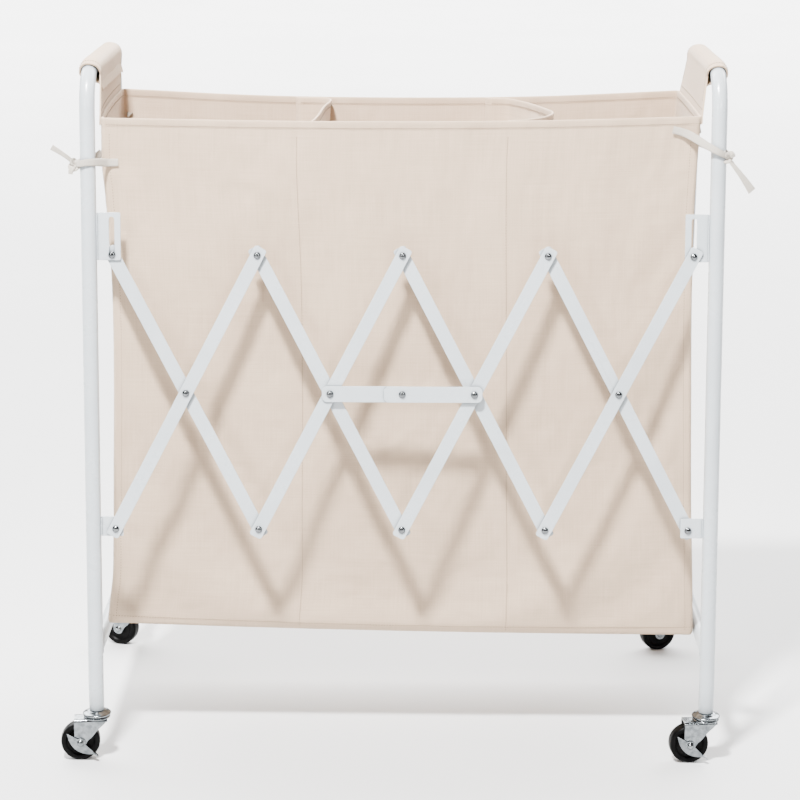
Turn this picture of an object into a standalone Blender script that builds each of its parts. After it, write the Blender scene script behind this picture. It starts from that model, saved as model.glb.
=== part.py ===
"""Rolling laundry sorter: two splayed tube side frames on casters, joined at the front and the rear by
a folding scissor linkage, with a bag of three compartments hung between them.

Metres, +Z up, origin on the floor below the middle of the sorter. X runs from side frame to side frame
and -Y is the front. The object stands fully open.
"""

import math

import bmesh
import bpy
from mathutils import Matrix, Vector

# Side frames: one bent tube each, its legs splayed towards the floor.
LEG_SPACING = 0.770
FOOT_DEPTH = 0.420
TOP_DEPTH = 0.272
TOP_HEIGHT = 0.862
FOOT_HEIGHT = 0.065
SPLAY_START = 0.100
FOOT_BEND_RADIUS = 0.150
TOP_BEND_RADIUS = 0.050
TUBE_RADIUS = 0.0095
TUBE_WALL = 0.0012
RAIL_HEIGHT = 0.140
RAIL_RADIUS = 0.0085
TUBE_SIDES = 14
GAP = 0.0003

# Scissor linkage, in the plane of the splayed legs.
CELLS = 4
LOW_PIVOT_HEIGHT = 0.298
HIGH_PIVOT_HEIGHT = 0.639
END_PIVOT_INSET = 0.028
BAR_WIDTH = 0.0165
BAR_THICKNESS = 0.002
BAR_OVERRUN = 0.0105
BAR_CORNER = 0.003
BRACKET_THICKNESS = 0.002
SLOT_BRACKET_INNER = 0.0108
SLOT_BRACKET_BELOW = 0.0067
SLOT_BRACKET_ABOVE = 0.0088
PIVOT_BRACKET_INNER = 0.0094
PIVOT_BRACKET_BELOW = 0.0095
PIVOT_BRACKET_ABOVE = 0.0155
BRACKET_CORNER = 0.0015
LAYER_GAP = 0.0003
FOLDED_CELL = 0.0195

# Rivets.
SHANK_RADIUS = 0.0029
HOLE_RADIUS = 0.0034
HEAD_RADIUS = 0.0042
HEAD_HEIGHT = 0.0022
TAIL_HEIGHT = 0.0014
RIVET_SIDES = 10

# Folding brace between the two middle cells.
LINK_WIDTH = 0.020
LINK_THICKNESS = 0.0016
LINK_OVERRUN = 0.0186
LINK_CORNER = 0.006
LINK_LIP = 0.004

# Casters.
TRAIL = 0.0214
WHEEL_RADIUS = 0.0247
WHEEL_WIDTH = 0.018
WHEEL_BORE = 0.0033
WHEEL_SIDES = 32
FORK_OUTER_WIDTH = 0.0235
FORK_SHEET = 0.002
FORK_TOP = 0.0555
RACE_TOP = 0.0580
DISH_TOP = FOOT_HEIGHT - GAP
DISH_RADIUS = 0.0178
KINGPIN_RADIUS = 0.0042
AXLE_RADIUS = 0.0026
TURNED_SIDES = 20
STEM_LENGTH = 0.030
PLAY = 0.0006
PIN_HEAD_GAP = 0.0008
CHEEK_TIP = 0.0075
FORK_BACK = 0.0130
FORK_AHEAD = 0.0295
RACE_BORE = 0.0060
RACE_RADIUS = 0.0168
LEVER_GAP = 0.0005
LEVER_THICKNESS = 0.0016
LEVER_HUB = 0.0068
CASTER_TURN = {
    ("front", "left"): 186,
    ("front", "right"): 186,
    ("rear", "left"): 162,
    ("rear", "right"): 198,
}

# Bag: half widths at the bottom and at the rim, half depths, and heights.
BAG_RIM_HEIGHT = 0.806
BAG_BOTTOM_HEIGHT = 0.1495
BAG_HALF_WIDTH_RIM = 0.362
BAG_HALF_WIDTH_BOTTOM = 0.374
BAG_HALF_DEPTH = 0.127
FABRIC = 0.0016
DIVIDER_X = 0.1215
DIVIDER_DROP = 0.006
SLEEVE_HALF_LENGTH = 0.088
SLEEVE_FABRIC = 0.0012
SLEEVE_GAP = 0.0005
TIE_HEIGHT = 0.745
TIE_WIDTH = 0.010
TIE_FABRIC = 0.0012
TIE_GAP = 0.0008
TIE_TAILS = {"left": (-0.030, 0.004, 0.016), "right": (0.031, 0.004, -0.034)}

# Finishes: colour, metallic, roughness.
WHITE_PAINT = ((0.83, 0.84, 0.85), 0.0, 0.35)
ZINC = ((0.72, 0.73, 0.74), 1.0, 0.28)
TYRE = ((0.02, 0.02, 0.022), 0.0, 0.45)
CANVAS = ((0.80, 0.72, 0.62), 0.0, 0.9)
SHARP_ANGLE = math.radians(35)

COLLECTION = bpy.context.scene.collection
SPLAY_SLOPE = (FOOT_DEPTH - TOP_DEPTH) / 2 / (TOP_HEIGHT - SPLAY_START)
SPLAY = math.atan(SPLAY_SLOPE)
CELL = (LEG_SPACING - 2 * END_PIVOT_INSET) / CELLS
RISE = (HIGH_PIVOT_HEIGHT - LOW_PIVOT_HEIGHT) / math.cos(SPLAY)
BAR_LENGTH = math.hypot(CELL, RISE)
BAR_ANGLE = math.atan2(CELL, RISE)
SLOT_TRAVEL = BAR_LENGTH * math.cos(math.asin(FOLDED_CELL / BAR_LENGTH)) - RISE
END_X = LEG_SPACING / 2 - END_PIVOT_INSET
SIDES = {"left": -1, "right": 1}
ENDS = {"front": -1, "rear": 1}

# Layers across the linkage, measured outwards from the middle of the brackets.
OUTER_LOW = BRACKET_THICKNESS / 2 + LAYER_GAP
OUTER_HIGH = OUTER_LOW + BAR_THICKNESS
LINK_1_LOW = OUTER_HIGH + LAYER_GAP
LINK_1_HIGH = LINK_1_LOW + LINK_THICKNESS
LINK_2_LOW = LINK_1_HIGH + LAYER_GAP
LINK_2_HIGH = LINK_2_LOW + LINK_THICKNESS


def leg_depth(height):
    """Distance of a leg's centre line from the middle of the sorter, at a height."""
    return FOOT_DEPTH / 2 - max(height - SPLAY_START, 0) * SPLAY_SLOPE


def clear_scene():
    for old in list(bpy.data.objects):
        bpy.data.objects.remove(old, do_unlink=True)


def material(name, colour, metallic, roughness):
    made = bpy.data.materials.new(name)
    made.use_nodes = True
    shader = made.node_tree.nodes["Principled BSDF"]
    shader.inputs["Base Color"].default_value = (*colour, 1)
    shader.inputs["Metallic"].default_value = metallic
    shader.inputs["Roughness"].default_value = roughness
    return made


def finish_mesh(bm, name):
    bmesh.ops.recalc_face_normals(bm, faces=bm.faces)
    mesh = bpy.data.meshes.new(name)
    bm.to_mesh(mesh)
    bm.free()
    mesh.shade_smooth()
    mesh.set_sharp_from_angle(angle=SHARP_ANGLE)
    return mesh


def place(name, mesh, look, matrix=None):
    """A named object of this mesh, which gets its own material."""
    made = bpy.data.objects.new(name, mesh)
    COLLECTION.objects.link(made)
    made.matrix_world = matrix or Matrix.Identity(4)
    made.data = mesh.copy() if mesh.users > 1 else mesh
    made.data.materials.clear()
    made.data.materials.append(material(f"{name}_finish", *look))
    return made


# Mesh builders.


def ring(bm, centre, radius, sides, across=Vector((1, 0, 0)), along=Vector((0, 1, 0)), phase=0.0):
    """A loop of vertices on a circle spanned by two unit vectors."""
    turns = [2 * math.pi * (k + phase) / sides for k in range(sides)]
    return [bm.verts.new(centre + radius * (math.cos(t) * across + math.sin(t) * along)) for t in turns]


def bridge(bm, first, second):
    """Quads between two loops of the same length."""
    count = len(first)
    for k in range(count):
        after = (k + 1) % count
        bm.faces.new((first[k], first[after], second[after], second[k]))


def fill(bm, loops):
    """Triangles over a flat region between an outer loop and the loops of its holes."""
    edges = []
    for loop in loops:
        for k, vert in enumerate(loop):
            after = loop[(k + 1) % len(loop)]
            edges.append(bm.edges.get((vert, after)) or bm.edges.new((vert, after)))
    bmesh.ops.triangle_fill(bm, use_beauty=True, use_dissolve=False, edges=edges)


def rounded(corners, radius, steps=2):
    """The outline through these corners, each rounded to the radius, as 2-D points."""
    points = []
    count = len(corners)
    for k in range(count):
        here = Vector(corners[k])
        back = (Vector(corners[k - 1]) - here).normalized()
        ahead = (Vector(corners[(k + 1) % count]) - here).normalized()
        half = back.angle(ahead) / 2
        centre = here + (back + ahead).normalized() * radius / math.sin(half)
        start = here + back * radius / math.tan(half) - centre
        end = here + ahead * radius / math.tan(half) - centre
        for step in range(steps + 1):
            share = step / steps
            arm = (start * (1 - share) + end * share).normalized() * radius
            points.append(centre + arm)
    return points


def plate(outline, low, high, holes=(), posts=()):
    """A flat plate from low to high. A hole is the list of its outline's points. A post is its centre, its
    rings above and its rings below, each ring a (radius, level): the first ring lies in the plate's face, the
    last one is capped, and a side with no rings stays flat."""
    bm = bmesh.new()

    def loop(points, level):
        return [bm.verts.new((x, y, level)) for x, y in points]

    top = [loop(outline, high)]
    bottom = [loop(outline, low)]
    bridge(bm, bottom[0], top[0])
    for points in holes:
        top.append(loop(points, high))
        bottom.append(loop(points, low))
        bridge(bm, bottom[-1], top[-1])
    for centre, above, below in posts:
        for rings, face_loops in ((above, top), (below, bottom)):
            loops = [ring(bm, Vector((*centre, level)), radius, RIVET_SIDES) for radius, level in rings]
            if not loops:
                continue
            face_loops.append(loops[0])
            for first, second in zip(loops, loops[1:]):
                bridge(bm, first, second)
            bm.faces.new(loops[-1])
    fill(bm, top)
    fill(bm, bottom)
    return bm


def box_corners(left, right, low, high):
    return [(left, low), (right, low), (right, high), (left, high)]


def circle(centre, radius, sides=RIVET_SIDES):
    turns = [2 * math.pi * k / sides for k in range(sides)]
    return [(centre[0] + radius * math.cos(t), centre[1] + radius * math.sin(t)) for t in turns]


def slot(low, high, radius, sides=RIVET_SIDES):
    """A slot's outline along Y, between the centres of its two round ends."""
    half = sides // 2
    points = []
    for k in range(half + 1):
        turn = math.pi * k / half
        points.append((radius * math.cos(turn), high + radius * math.sin(turn)))
    for k in range(half + 1):
        turn = math.pi + math.pi * k / half
        points.append((radius * math.cos(turn), low + radius * math.sin(turn)))
    return points


def turned(profile, sides, phase=0.0):
    """A solid of revolution about Z from a profile of (radius, height) points. A closed profile, with no
    point on the axis, makes a ring; an open one is capped at both ends."""
    bm = bmesh.new()
    closed = profile[0] == profile[-1]
    points = profile[:-1] if closed else profile
    loops = [ring(bm, Vector((0, 0, h)), r, sides, phase=phase) for r, h in points]
    for first, second in zip(loops, loops[1:]):
        bridge(bm, first, second)
    if closed:
        bridge(bm, loops[-1], loops[0])
    else:
        bm.faces.new(loops[0])
        bm.faces.new(loops[-1])
    return bm


def swept_tube(path, outer, inner, sides):
    """A hollow tube with open ends along a path in a plane of constant X."""
    bm = bmesh.new()
    across = Vector((1, 0, 0))
    walls = {outer: [], inner: []}
    for k, point in enumerate(path):
        tangent = (path[min(k + 1, len(path) - 1)] - path[max(k - 1, 0)]).normalized()
        normal = tangent.cross(across)
        for radius, loops in walls.items():
            loops.append(ring(bm, point, radius, sides, across, normal, phase=0.5))
    for loops in walls.values():
        for first, second in zip(loops, loops[1:]):
            bridge(bm, first, second)
    for end in (0, -1):
        bridge(bm, walls[outer][end], walls[inner][end])
    return bm


def ribbon(path, width, thickness, up=Vector((0, 0, 1))):
    """A band of rectangular section along a path, its width along up and its thickness across the path."""
    bm = bmesh.new()
    loops = []
    for k, point in enumerate(path):
        tangent = path[min(k + 1, len(path) - 1)] - path[max(k - 1, 0)]
        tangent = (tangent - tangent.dot(up) * up).normalized()
        side = tangent.cross(up) * thickness / 2
        rise = up * width / 2
        corners = (point + side + rise, point - side + rise, point - side - rise, point + side - rise)
        loops.append([bm.verts.new(corner) for corner in corners])
    for first, second in zip(loops, loops[1:]):
        bridge(bm, first, second)
    bm.faces.new(loops[0])
    bm.faces.new(loops[-1])
    return bm


def united(name, parts):
    """One mesh from overlapping solids, joined by Boolean unions on hidden helpers."""
    helpers = []
    for number, bm in enumerate(parts):
        helper = bpy.data.objects.new(f"{name}_part_{number}", finish_mesh(bm, f"{name}_part_{number}"))
        COLLECTION.objects.link(helper)
        helper.hide_render = True
        helper.display_type = "WIRE"
        helpers.append(helper)
    for other in helpers[1:]:
        joined = helpers[0].modifiers.new("union", "BOOLEAN")
        joined.operation = "UNION"
        joined.solver = "EXACT"
        joined.object = other
    graph = bpy.context.evaluated_depsgraph_get()
    mesh = bpy.data.meshes.new_from_object(helpers[0].evaluated_get(graph))
    for helper in helpers:
        bpy.data.objects.remove(helper, do_unlink=True)
    return mesh


# Side frames.


def frame_path():
    """The bent tube's centre line, from the front foot over the top to the rear foot, at X = 0."""
    corners = [
        Vector((0, -FOOT_DEPTH / 2, FOOT_HEIGHT)),
        Vector((0, -FOOT_DEPTH / 2, SPLAY_START)),
        Vector((0, -TOP_DEPTH / 2, TOP_HEIGHT)),
        Vector((0, TOP_DEPTH / 2, TOP_HEIGHT)),
        Vector((0, FOOT_DEPTH / 2, SPLAY_START)),
        Vector((0, FOOT_DEPTH / 2, FOOT_HEIGHT)),
    ]
    radii = (FOOT_BEND_RADIUS, TOP_BEND_RADIUS, TOP_BEND_RADIUS, FOOT_BEND_RADIUS)
    steps = (2, 7, 7, 2)
    path = [corners[0]]
    for here, radius, count, before, after in zip(corners[1:5], radii, steps, corners, corners[2:]):
        back = (before - here).normalized()
        ahead = (after - here).normalized()
        half = back.angle(ahead) / 2
        centre = here + (back + ahead).normalized() * radius / math.sin(half)
        start = here + back * radius / math.tan(half) - centre
        turn = math.pi - 2 * half
        axis = back.cross(ahead).normalized()
        for step in range(count + 1):
            path.append(centre + Matrix.Rotation(-turn * step / count, 3, axis) @ start)
    path.append(corners[5])
    return path


def make_side_frames():
    for side, sign in SIDES.items():
        across = Matrix.Translation((sign * LEG_SPACING / 2, 0, 0))
        tube = swept_tube(frame_path(), TUBE_RADIUS, TUBE_RADIUS - TUBE_WALL, TUBE_SIDES)
        place(f"side_frame_{side}", finish_mesh(tube, "side_frame"), WHITE_PAINT, across)
        reach = leg_depth(RAIL_HEIGHT + RAIL_RADIUS) - TUBE_RADIUS / math.cos(SPLAY) - GAP
        ends = [Vector((0, -reach, RAIL_HEIGHT)), Vector((0, reach, RAIL_HEIGHT))]
        rail = swept_tube(ends, RAIL_RADIUS, RAIL_RADIUS - TUBE_WALL, TUBE_SIDES)
        place(f"lower_rail_{side}", finish_mesh(rail, "lower_rail"), WHITE_PAINT, across)


# Linkage. Each of its two copies is built as seen from outside the sorter: X to the right, Y up the
# splayed legs from the low pivots, Z outwards. The rear one is the front one turned about the vertical.


def linkage_plane(end):
    lean = Matrix.Rotation(math.pi / 2 - SPLAY, 4, "X")
    at = Matrix.Translation((0, -leg_depth(LOW_PIVOT_HEIGHT), LOW_PIVOT_HEIGHT)) @ lean
    return at if end == "front" else Matrix.Rotation(math.pi, 4, "Z") @ at


def pivot_x(number):
    return -END_X + number * CELL


def dome(base):
    """The rings of a rivet's domed head above its base ring."""
    return [(0.85 * HEAD_RADIUS, base + 0.6 * HEAD_HEIGHT), (0.45 * HEAD_RADIUS, base + HEAD_HEIGHT)]


def rivet(centre, gap_low, tail_low, head_base=OUTER_HIGH, above=()):
    """A rivet on an outer bar: its head above, and below a shank with a formed tail."""
    rings_above = list(above) or [(HEAD_RADIUS, head_base)]
    rings_above += dome(rings_above[-1][1])
    rings_below = [
        (SHANK_RADIUS, gap_low),
        (SHANK_RADIUS, tail_low),
        (HEAD_RADIUS, tail_low),
        (0.8 * HEAD_RADIUS, tail_low - TAIL_HEIGHT),
    ]
    return centre, rings_above, rings_below


def bar_outline():
    half = BAR_WIDTH / 2
    low = -BAR_OVERRUN
    high = BAR_LENGTH + BAR_OVERRUN
    return rounded(box_corners(-half, half, low, high), BAR_CORNER)


def bar_matrix(end, cell, rising):
    """A bar's place: its low pivot is at its own origin, and it points up its own Y."""
    foot = pivot_x(cell if rising else cell + 1)
    turn = -BAR_ANGLE if rising else BAR_ANGLE
    return linkage_plane(end) @ Matrix.Translation((foot, 0, 0)) @ Matrix.Rotation(turn, 4, "Z")


def outer_bar(cell):
    """A bar that rises to the right, in the outer layer. It carries three rivets."""
    behind_bracket = -BRACKET_THICKNESS / 2 - LAYER_GAP
    behind_bar = -OUTER_HIGH - LAYER_GAP
    foot_tail = behind_bracket if cell == 0 else behind_bar
    head_tail = behind_bracket if cell == CELLS - 1 else behind_bar
    above = ()
    if cell == 1:
        above = [(SHANK_RADIUS, OUTER_HIGH), (SHANK_RADIUS, LINK_2_LOW), (HEAD_RADIUS, LINK_2_LOW)]
    if cell == 2:
        above = [
            (HEAD_RADIUS, OUTER_HIGH),
            (HEAD_RADIUS, LINK_1_HIGH),
            (SHANK_RADIUS, LINK_1_HIGH),
            (SHANK_RADIUS, LINK_2_HIGH + LAYER_GAP),
            (HEAD_RADIUS, LINK_2_HIGH + LAYER_GAP),
        ]
    posts = (
        rivet((0, 0), OUTER_LOW, foot_tail),
        rivet((0, BAR_LENGTH / 2), OUTER_LOW, behind_bar, above=above),
        rivet((0, BAR_LENGTH), OUTER_LOW, head_tail),
    )
    return plate(bar_outline(), OUTER_LOW, OUTER_HIGH, posts=posts)


def inner_bar(cell):
    """A bar that falls to the right, in the inner layer. Its end at a bracket carries its own rivet."""
    holes = [circle((0, BAR_LENGTH / 2), HOLE_RADIUS)]
    posts = []
    through = [
        (SHANK_RADIUS, -OUTER_LOW),
        (SHANK_RADIUS, OUTER_LOW),
        (HEAD_RADIUS, OUTER_LOW),
        *dome(OUTER_LOW),
    ]
    tail = [(HEAD_RADIUS, -OUTER_HIGH), (0.8 * HEAD_RADIUS, -OUTER_HIGH - TAIL_HEIGHT)]
    for spot, at_bracket in (((0, 0), cell == CELLS - 1), ((0, BAR_LENGTH), cell == 0)):
        if at_bracket:
            posts.append((spot, through, tail))
        else:
            holes.append(circle(spot, HOLE_RADIUS))
    return plate(bar_outline(), -OUTER_HIGH, -OUTER_LOW, holes, posts)


def make_scissors(end):
    """Bars are named from the front view: rise runs up to the right there, and cell 1 is at the left."""
    for cell in range(CELLS):
        number = cell + 1 if end == "front" else CELLS - cell
        outer_name, inner_name = ("rise", "fall") if end == "front" else ("fall", "rise")
        outer = finish_mesh(outer_bar(cell), "outer_bar")
        inner = finish_mesh(inner_bar(cell), "inner_bar")
        place(f"scissor_bar_{end}_{outer_name}_{number}", outer, WHITE_PAINT, bar_matrix(end, cell, True))
        place(f"scissor_bar_{end}_{inner_name}_{number}", inner, WHITE_PAINT, bar_matrix(end, cell, False))


def make_braces(end):
    """The two links of the folding brace, each with its origin on its outer pivot."""
    half = LINK_WIDTH / 2
    reach = CELL / 2
    bore = circle((0, 0), HOLE_RADIUS)
    inner = rounded(box_corners(-half, reach + half, -half, half), LINK_CORNER, 3)
    inner_link = plate(inner, LINK_1_LOW, LINK_1_HIGH, [bore])
    tip = -reach - LINK_OVERRUN
    lip = [(tip, half), (tip - LINK_LIP, half - LINK_LIP), (tip - LINK_LIP, LINK_LIP - half), (tip, -half)]
    rounded_end = rounded(box_corners(-half, half, -half, half), LINK_CORNER, 3)[4:12]
    head = [(HEAD_RADIUS, LINK_2_HIGH), *dome(LINK_2_HIGH)]
    outer_link = plate(lip + rounded_end, LINK_2_LOW, LINK_2_HIGH, [bore], [((-reach, 0), head, [])])
    middle = RISE / 2
    for name, bm, cell in (("inner", inner_link, 1), ("outer", outer_link, 2)):
        x = pivot_x(cell) + CELL / 2
        on_left = (name == "inner") == (end == "front")
        at = linkage_plane(end) @ Matrix.Translation((x, middle, 0))
        side = "left" if on_left else "right"
        place(f"brace_link_{end}_{side}", finish_mesh(bm, "brace_link"), WHITE_PAINT, at)


def bracket_matrix(end, side, height):
    """A bracket's own X runs from the pivot towards the leg, and its origin is on the pivot."""
    own_right = (side == "right") == (end == "front")
    sign = 1 if own_right else -1
    at = linkage_plane(end) @ Matrix.Translation((sign * END_X, height, 0))
    return at if own_right else at @ Matrix.Rotation(math.pi, 4, "Y")


def make_brackets(end):
    to_leg = END_PIVOT_INSET - TUBE_RADIUS - GAP
    thick = BRACKET_THICKNESS / 2
    slot_outline = slot(0, SLOT_TRAVEL + LAYER_GAP, HOLE_RADIUS)
    upper = box_corners(-SLOT_BRACKET_INNER, to_leg, -SLOT_BRACKET_BELOW, SLOT_TRAVEL + SLOT_BRACKET_ABOVE)
    lower = box_corners(-PIVOT_BRACKET_INNER, to_leg, -PIVOT_BRACKET_BELOW, PIVOT_BRACKET_ABOVE)
    for side in SIDES:
        bm = plate(rounded(upper, BRACKET_CORNER), -thick, thick, [slot_outline])
        at = bracket_matrix(end, side, RISE)
        place(f"slot_bracket_{end}_{side}", finish_mesh(bm, "slot_bracket"), WHITE_PAINT, at)
        bm = plate(rounded(lower, BRACKET_CORNER), -thick, thick, [circle((0, 0), HOLE_RADIUS)])
        at = bracket_matrix(end, side, 0)
        place(f"pivot_bracket_{end}_{side}", finish_mesh(bm, "pivot_bracket"), WHITE_PAINT, at)


# Casters. In a caster's own frame the stem is the Z axis, the wheel trails along +X, and Y is the axle.

ABOUT_AXLE = Matrix.Rotation(-math.pi / 2, 4, "X")


def stem_mesh():
    """Stem, upper dish, kingpin and its head: the part of a caster that stays with the leg."""
    stem_radius = TUBE_RADIUS - TUBE_WALL - 0.0007
    pin_head = FORK_TOP - FORK_SHEET - PIN_HEAD_GAP
    profile = [
        (stem_radius - 0.001, FOOT_HEIGHT + STEM_LENGTH),
        (stem_radius, FOOT_HEIGHT + STEM_LENGTH - 0.002),
        (stem_radius, DISH_TOP),
        (0.0125, DISH_TOP),
        (DISH_RADIUS, DISH_TOP - 0.0022),
        (DISH_RADIUS - 0.0006, RACE_TOP + 0.0018),
        (0.0145, RACE_TOP + 0.0005),
        (KINGPIN_RADIUS, RACE_TOP + 0.0005),
        (KINGPIN_RADIUS, pin_head),
        (0.0075, pin_head),
        (0.0068, pin_head - 0.0018),
    ]
    return finish_mesh(turned(profile, TURNED_SIDES), "caster_stem")


def cheek_outline():
    """A fork cheek seen along the axle: upright behind the wheel's centre, sloping towards the stem."""
    axle = Vector((TRAIL, WHEEL_RADIUS))
    back = TRAIL + CHEEK_TIP + PLAY
    points = [Vector((back, FORK_TOP - 0.001)), Vector((back, WHEEL_RADIUS))]
    for step in range(1, 7):
        turn = -math.radians(25 * step)
        points.append(axle + CHEEK_TIP * Vector((math.cos(turn), math.sin(turn))))
    points += [Vector((0.0075, 0.0305)), Vector((0.0, 0.0410)), Vector((-0.0080, 0.0488))]
    points.append(Vector((-FORK_BACK, FORK_TOP - 0.001)))
    return points


def fork_mesh(braked):
    """A caster fork with its raised race and the axle riveted through it."""
    half = FORK_OUTER_WIDTH / 2
    top_outline = rounded(box_corners(-FORK_BACK, FORK_AHEAD, -half, half), 0.002)
    hole = circle((0, 0), KINGPIN_RADIUS + PLAY, TURNED_SIDES)
    top = plate(top_outline, FORK_TOP - FORK_SHEET, FORK_TOP, [hole])
    race_profile = [
        (RACE_BORE, FORK_TOP - 0.001),
        (RACE_BORE, RACE_TOP),
        (RACE_RADIUS - 0.0008, RACE_TOP),
        (RACE_RADIUS, FORK_TOP),
        (RACE_RADIUS - 0.0008, FORK_TOP - 0.001),
        (RACE_BORE, FORK_TOP - 0.001),
    ]
    parts = [top, turned(race_profile, TURNED_SIDES)]
    for sign in (-1, 1):
        low = sign * half - (FORK_SHEET if sign > 0 else 0)
        cheek = plate(cheek_outline(), low, low + FORK_SHEET)
        bmesh.ops.transform(cheek, matrix=Matrix.Rotation(math.pi / 2, 4, "X"), verts=cheek.verts)
        parts.append(cheek)
    head_base = half + (2 * LEVER_GAP + LEVER_THICKNESS if braked else -0.0004)
    axle_profile = [
        (0.7 * HEAD_RADIUS, -half - 0.0016),
        (HEAD_RADIUS, -half - 0.0008),
        (HEAD_RADIUS, -half + 0.0004),
        (AXLE_RADIUS, -half + 0.0004),
        (AXLE_RADIUS, head_base),
        (HEAD_RADIUS, head_base),
        (HEAD_RADIUS, head_base + 0.0012),
        (0.7 * HEAD_RADIUS, head_base + 0.0020),
    ]
    axle = turned(axle_profile, RIVET_SIDES)
    at = Matrix.Translation((TRAIL, 0, WHEEL_RADIUS)) @ ABOUT_AXLE
    bmesh.ops.transform(axle, matrix=at, verts=axle.verts)
    parts.append(axle)
    mesh = united("caster_fork", parts)
    mesh.shade_smooth()
    mesh.set_sharp_from_angle(angle=SHARP_ANGLE)
    return mesh


def wheel_mesh():
    """A wheel about its own axle, with a flat tread facet facing down."""
    half = WHEEL_WIDTH / 2
    crest = WHEEL_RADIUS / math.cos(math.pi / WHEEL_SIDES)
    profile = [
        (WHEEL_BORE, -half + 0.0006),
        (crest - 0.0025, -half),
        (crest, -half + 0.0022),
        (crest, half - 0.0022),
        (crest - 0.0025, half),
        (WHEEL_BORE, half - 0.0006),
        (WHEEL_BORE, -half + 0.0006),
    ]
    return finish_mesh(turned(profile, WHEEL_SIDES, phase=0.5), "caster_wheel")


def lever_mesh():
    """A half-moon brake lever beside the fork, seen along the axle, about its pivot on the axle."""
    upper = Vector((0.0184, 0.0144))
    lower = Vector((-0.0185, -0.0168))
    belly = Vector((0.0080, -0.0118))
    outline = []
    for step in range(9):
        share = step / 8
        flat = upper * (1 - share) ** 2 + lower * share**2
        outline.append(flat + 2 * share * (1 - share) * (2 * belly - (upper + lower) / 2))
    chord = math.atan2(upper.y - lower.y, upper.x - lower.x)
    for step in range(7):
        turn = chord + math.radians(160 - step * 23.3)
        outline.append(LEVER_HUB * Vector((math.cos(turn), math.sin(turn))))
    low = FORK_OUTER_WIDTH / 2 + LEVER_GAP
    bm = plate(outline, low, low + LEVER_THICKNESS, [circle((0, 0), AXLE_RADIUS + PLAY)])
    outwards = Matrix.Rotation(-math.pi / 2, 4, "X") @ Matrix.Scale(-1, 4, (0, 1, 0))
    bmesh.ops.transform(bm, matrix=outwards, verts=bm.verts)
    return finish_mesh(bm, "brake_lever")


def make_casters():
    stem = stem_mesh()
    wheel = wheel_mesh()
    forks = {"front": fork_mesh(True), "rear": fork_mesh(False)}
    lever = lever_mesh()
    for (end, side), turn in CASTER_TURN.items():
        foot = Matrix.Translation((SIDES[side] * LEG_SPACING / 2, ENDS[end] * FOOT_DEPTH / 2, 0))
        own = foot @ Matrix.Rotation(math.radians(turn), 4, "Z")
        axle = own @ Matrix.Translation((TRAIL, 0, WHEEL_RADIUS))
        corner = f"{end}_{side}"
        place(f"caster_stem_{corner}", stem, ZINC, foot)
        place(f"caster_fork_{corner}", forks[end], ZINC, own)
        place(f"caster_wheel_{corner}", wheel, TYRE, axle @ ABOUT_AXLE)
        if end == "front":
            place(f"brake_lever_{corner}", lever, ZINC, axle)


# Bag, handle sleeves and ties: plain solids that hold the cloth's place.


def slab(corners, low, high, turn):
    """A flat panel of these corners, turned from the XY plane into its own."""
    bm = plate(corners, low, high)
    bmesh.ops.transform(bm, matrix=turn, verts=bm.verts)
    return finish_mesh(bm, "panel")


def bag_half_width(height):
    share = (height - BAG_BOTTOM_HEIGHT) / (BAG_RIM_HEIGHT - BAG_BOTTOM_HEIGHT)
    return BAG_HALF_WIDTH_BOTTOM + share * (BAG_HALF_WIDTH_RIM - BAG_HALF_WIDTH_BOTTOM)


def make_bag():
    low = BAG_BOTTOM_HEIGHT
    wall_low = low + FABRIC + GAP
    top = BAG_RIM_HEIGHT
    upright = Matrix.Rotation(math.pi / 2, 4, "X")
    face = [
        (-bag_half_width(wall_low), wall_low),
        (bag_half_width(wall_low), wall_low),
        (bag_half_width(top), top),
        (-bag_half_width(top), top),
    ]
    for end, sign in ENDS.items():
        outer = -sign * BAG_HALF_DEPTH
        panel = slab(face, min(outer, outer + sign * FABRIC), max(outer, outer + sign * FABRIC), upright)
        place(f"bag_{end}_panel", panel, CANVAS)
    half_depth = BAG_HALF_DEPTH - FABRIC - GAP
    for side, sign in SIDES.items():
        low_x = sign * bag_half_width(wall_low)
        top_x = sign * bag_half_width(top)
        inward = sign * FABRIC
        section = [(low_x, wall_low), (top_x, top), (top_x - inward, top), (low_x - inward, wall_low)]
        place(f"bag_{side}_panel", slab(section, -half_depth, half_depth, upright), CANVAS)
        middle = sign * DIVIDER_X
        wall = box_corners(middle - FABRIC / 2, middle + FABRIC / 2, wall_low, top - DIVIDER_DROP)
        place(f"bag_divider_{side}", slab(wall, -half_depth, half_depth, upright), CANVAS)
    base = box_corners(-BAG_HALF_WIDTH_BOTTOM, BAG_HALF_WIDTH_BOTTOM, -BAG_HALF_DEPTH, BAG_HALF_DEPTH)
    place("bag_bottom_panel", slab(base, low, low + FABRIC, Matrix.Identity(4)), CANVAS)


def make_sleeves():
    """A strip of cloth over each top tube, from its outer side over the top and down to the bag's rim."""
    radius = TUBE_RADIUS + SLEEVE_GAP + SLEEVE_FABRIC / 2
    along = Vector((0, 1, 0))
    for side, sign in SIDES.items():
        centre = Vector((sign * LEG_SPACING / 2, 0, TOP_HEIGHT))
        path = []
        for step in range(15):
            turn = math.radians(-40 + step * 15)
            path.append(centre + radius * Vector((sign * math.cos(turn), 0, math.sin(turn))))
        path.append(Vector((sign * (BAG_HALF_WIDTH_RIM - 0.002), 0, BAG_RIM_HEIGHT + 0.001)))
        bm = ribbon(path, 2 * SLEEVE_HALF_LENGTH, SLEEVE_FABRIC, along)
        place(f"handle_sleeve_{side}", finish_mesh(bm, "handle_sleeve"), CANVAS)


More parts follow.
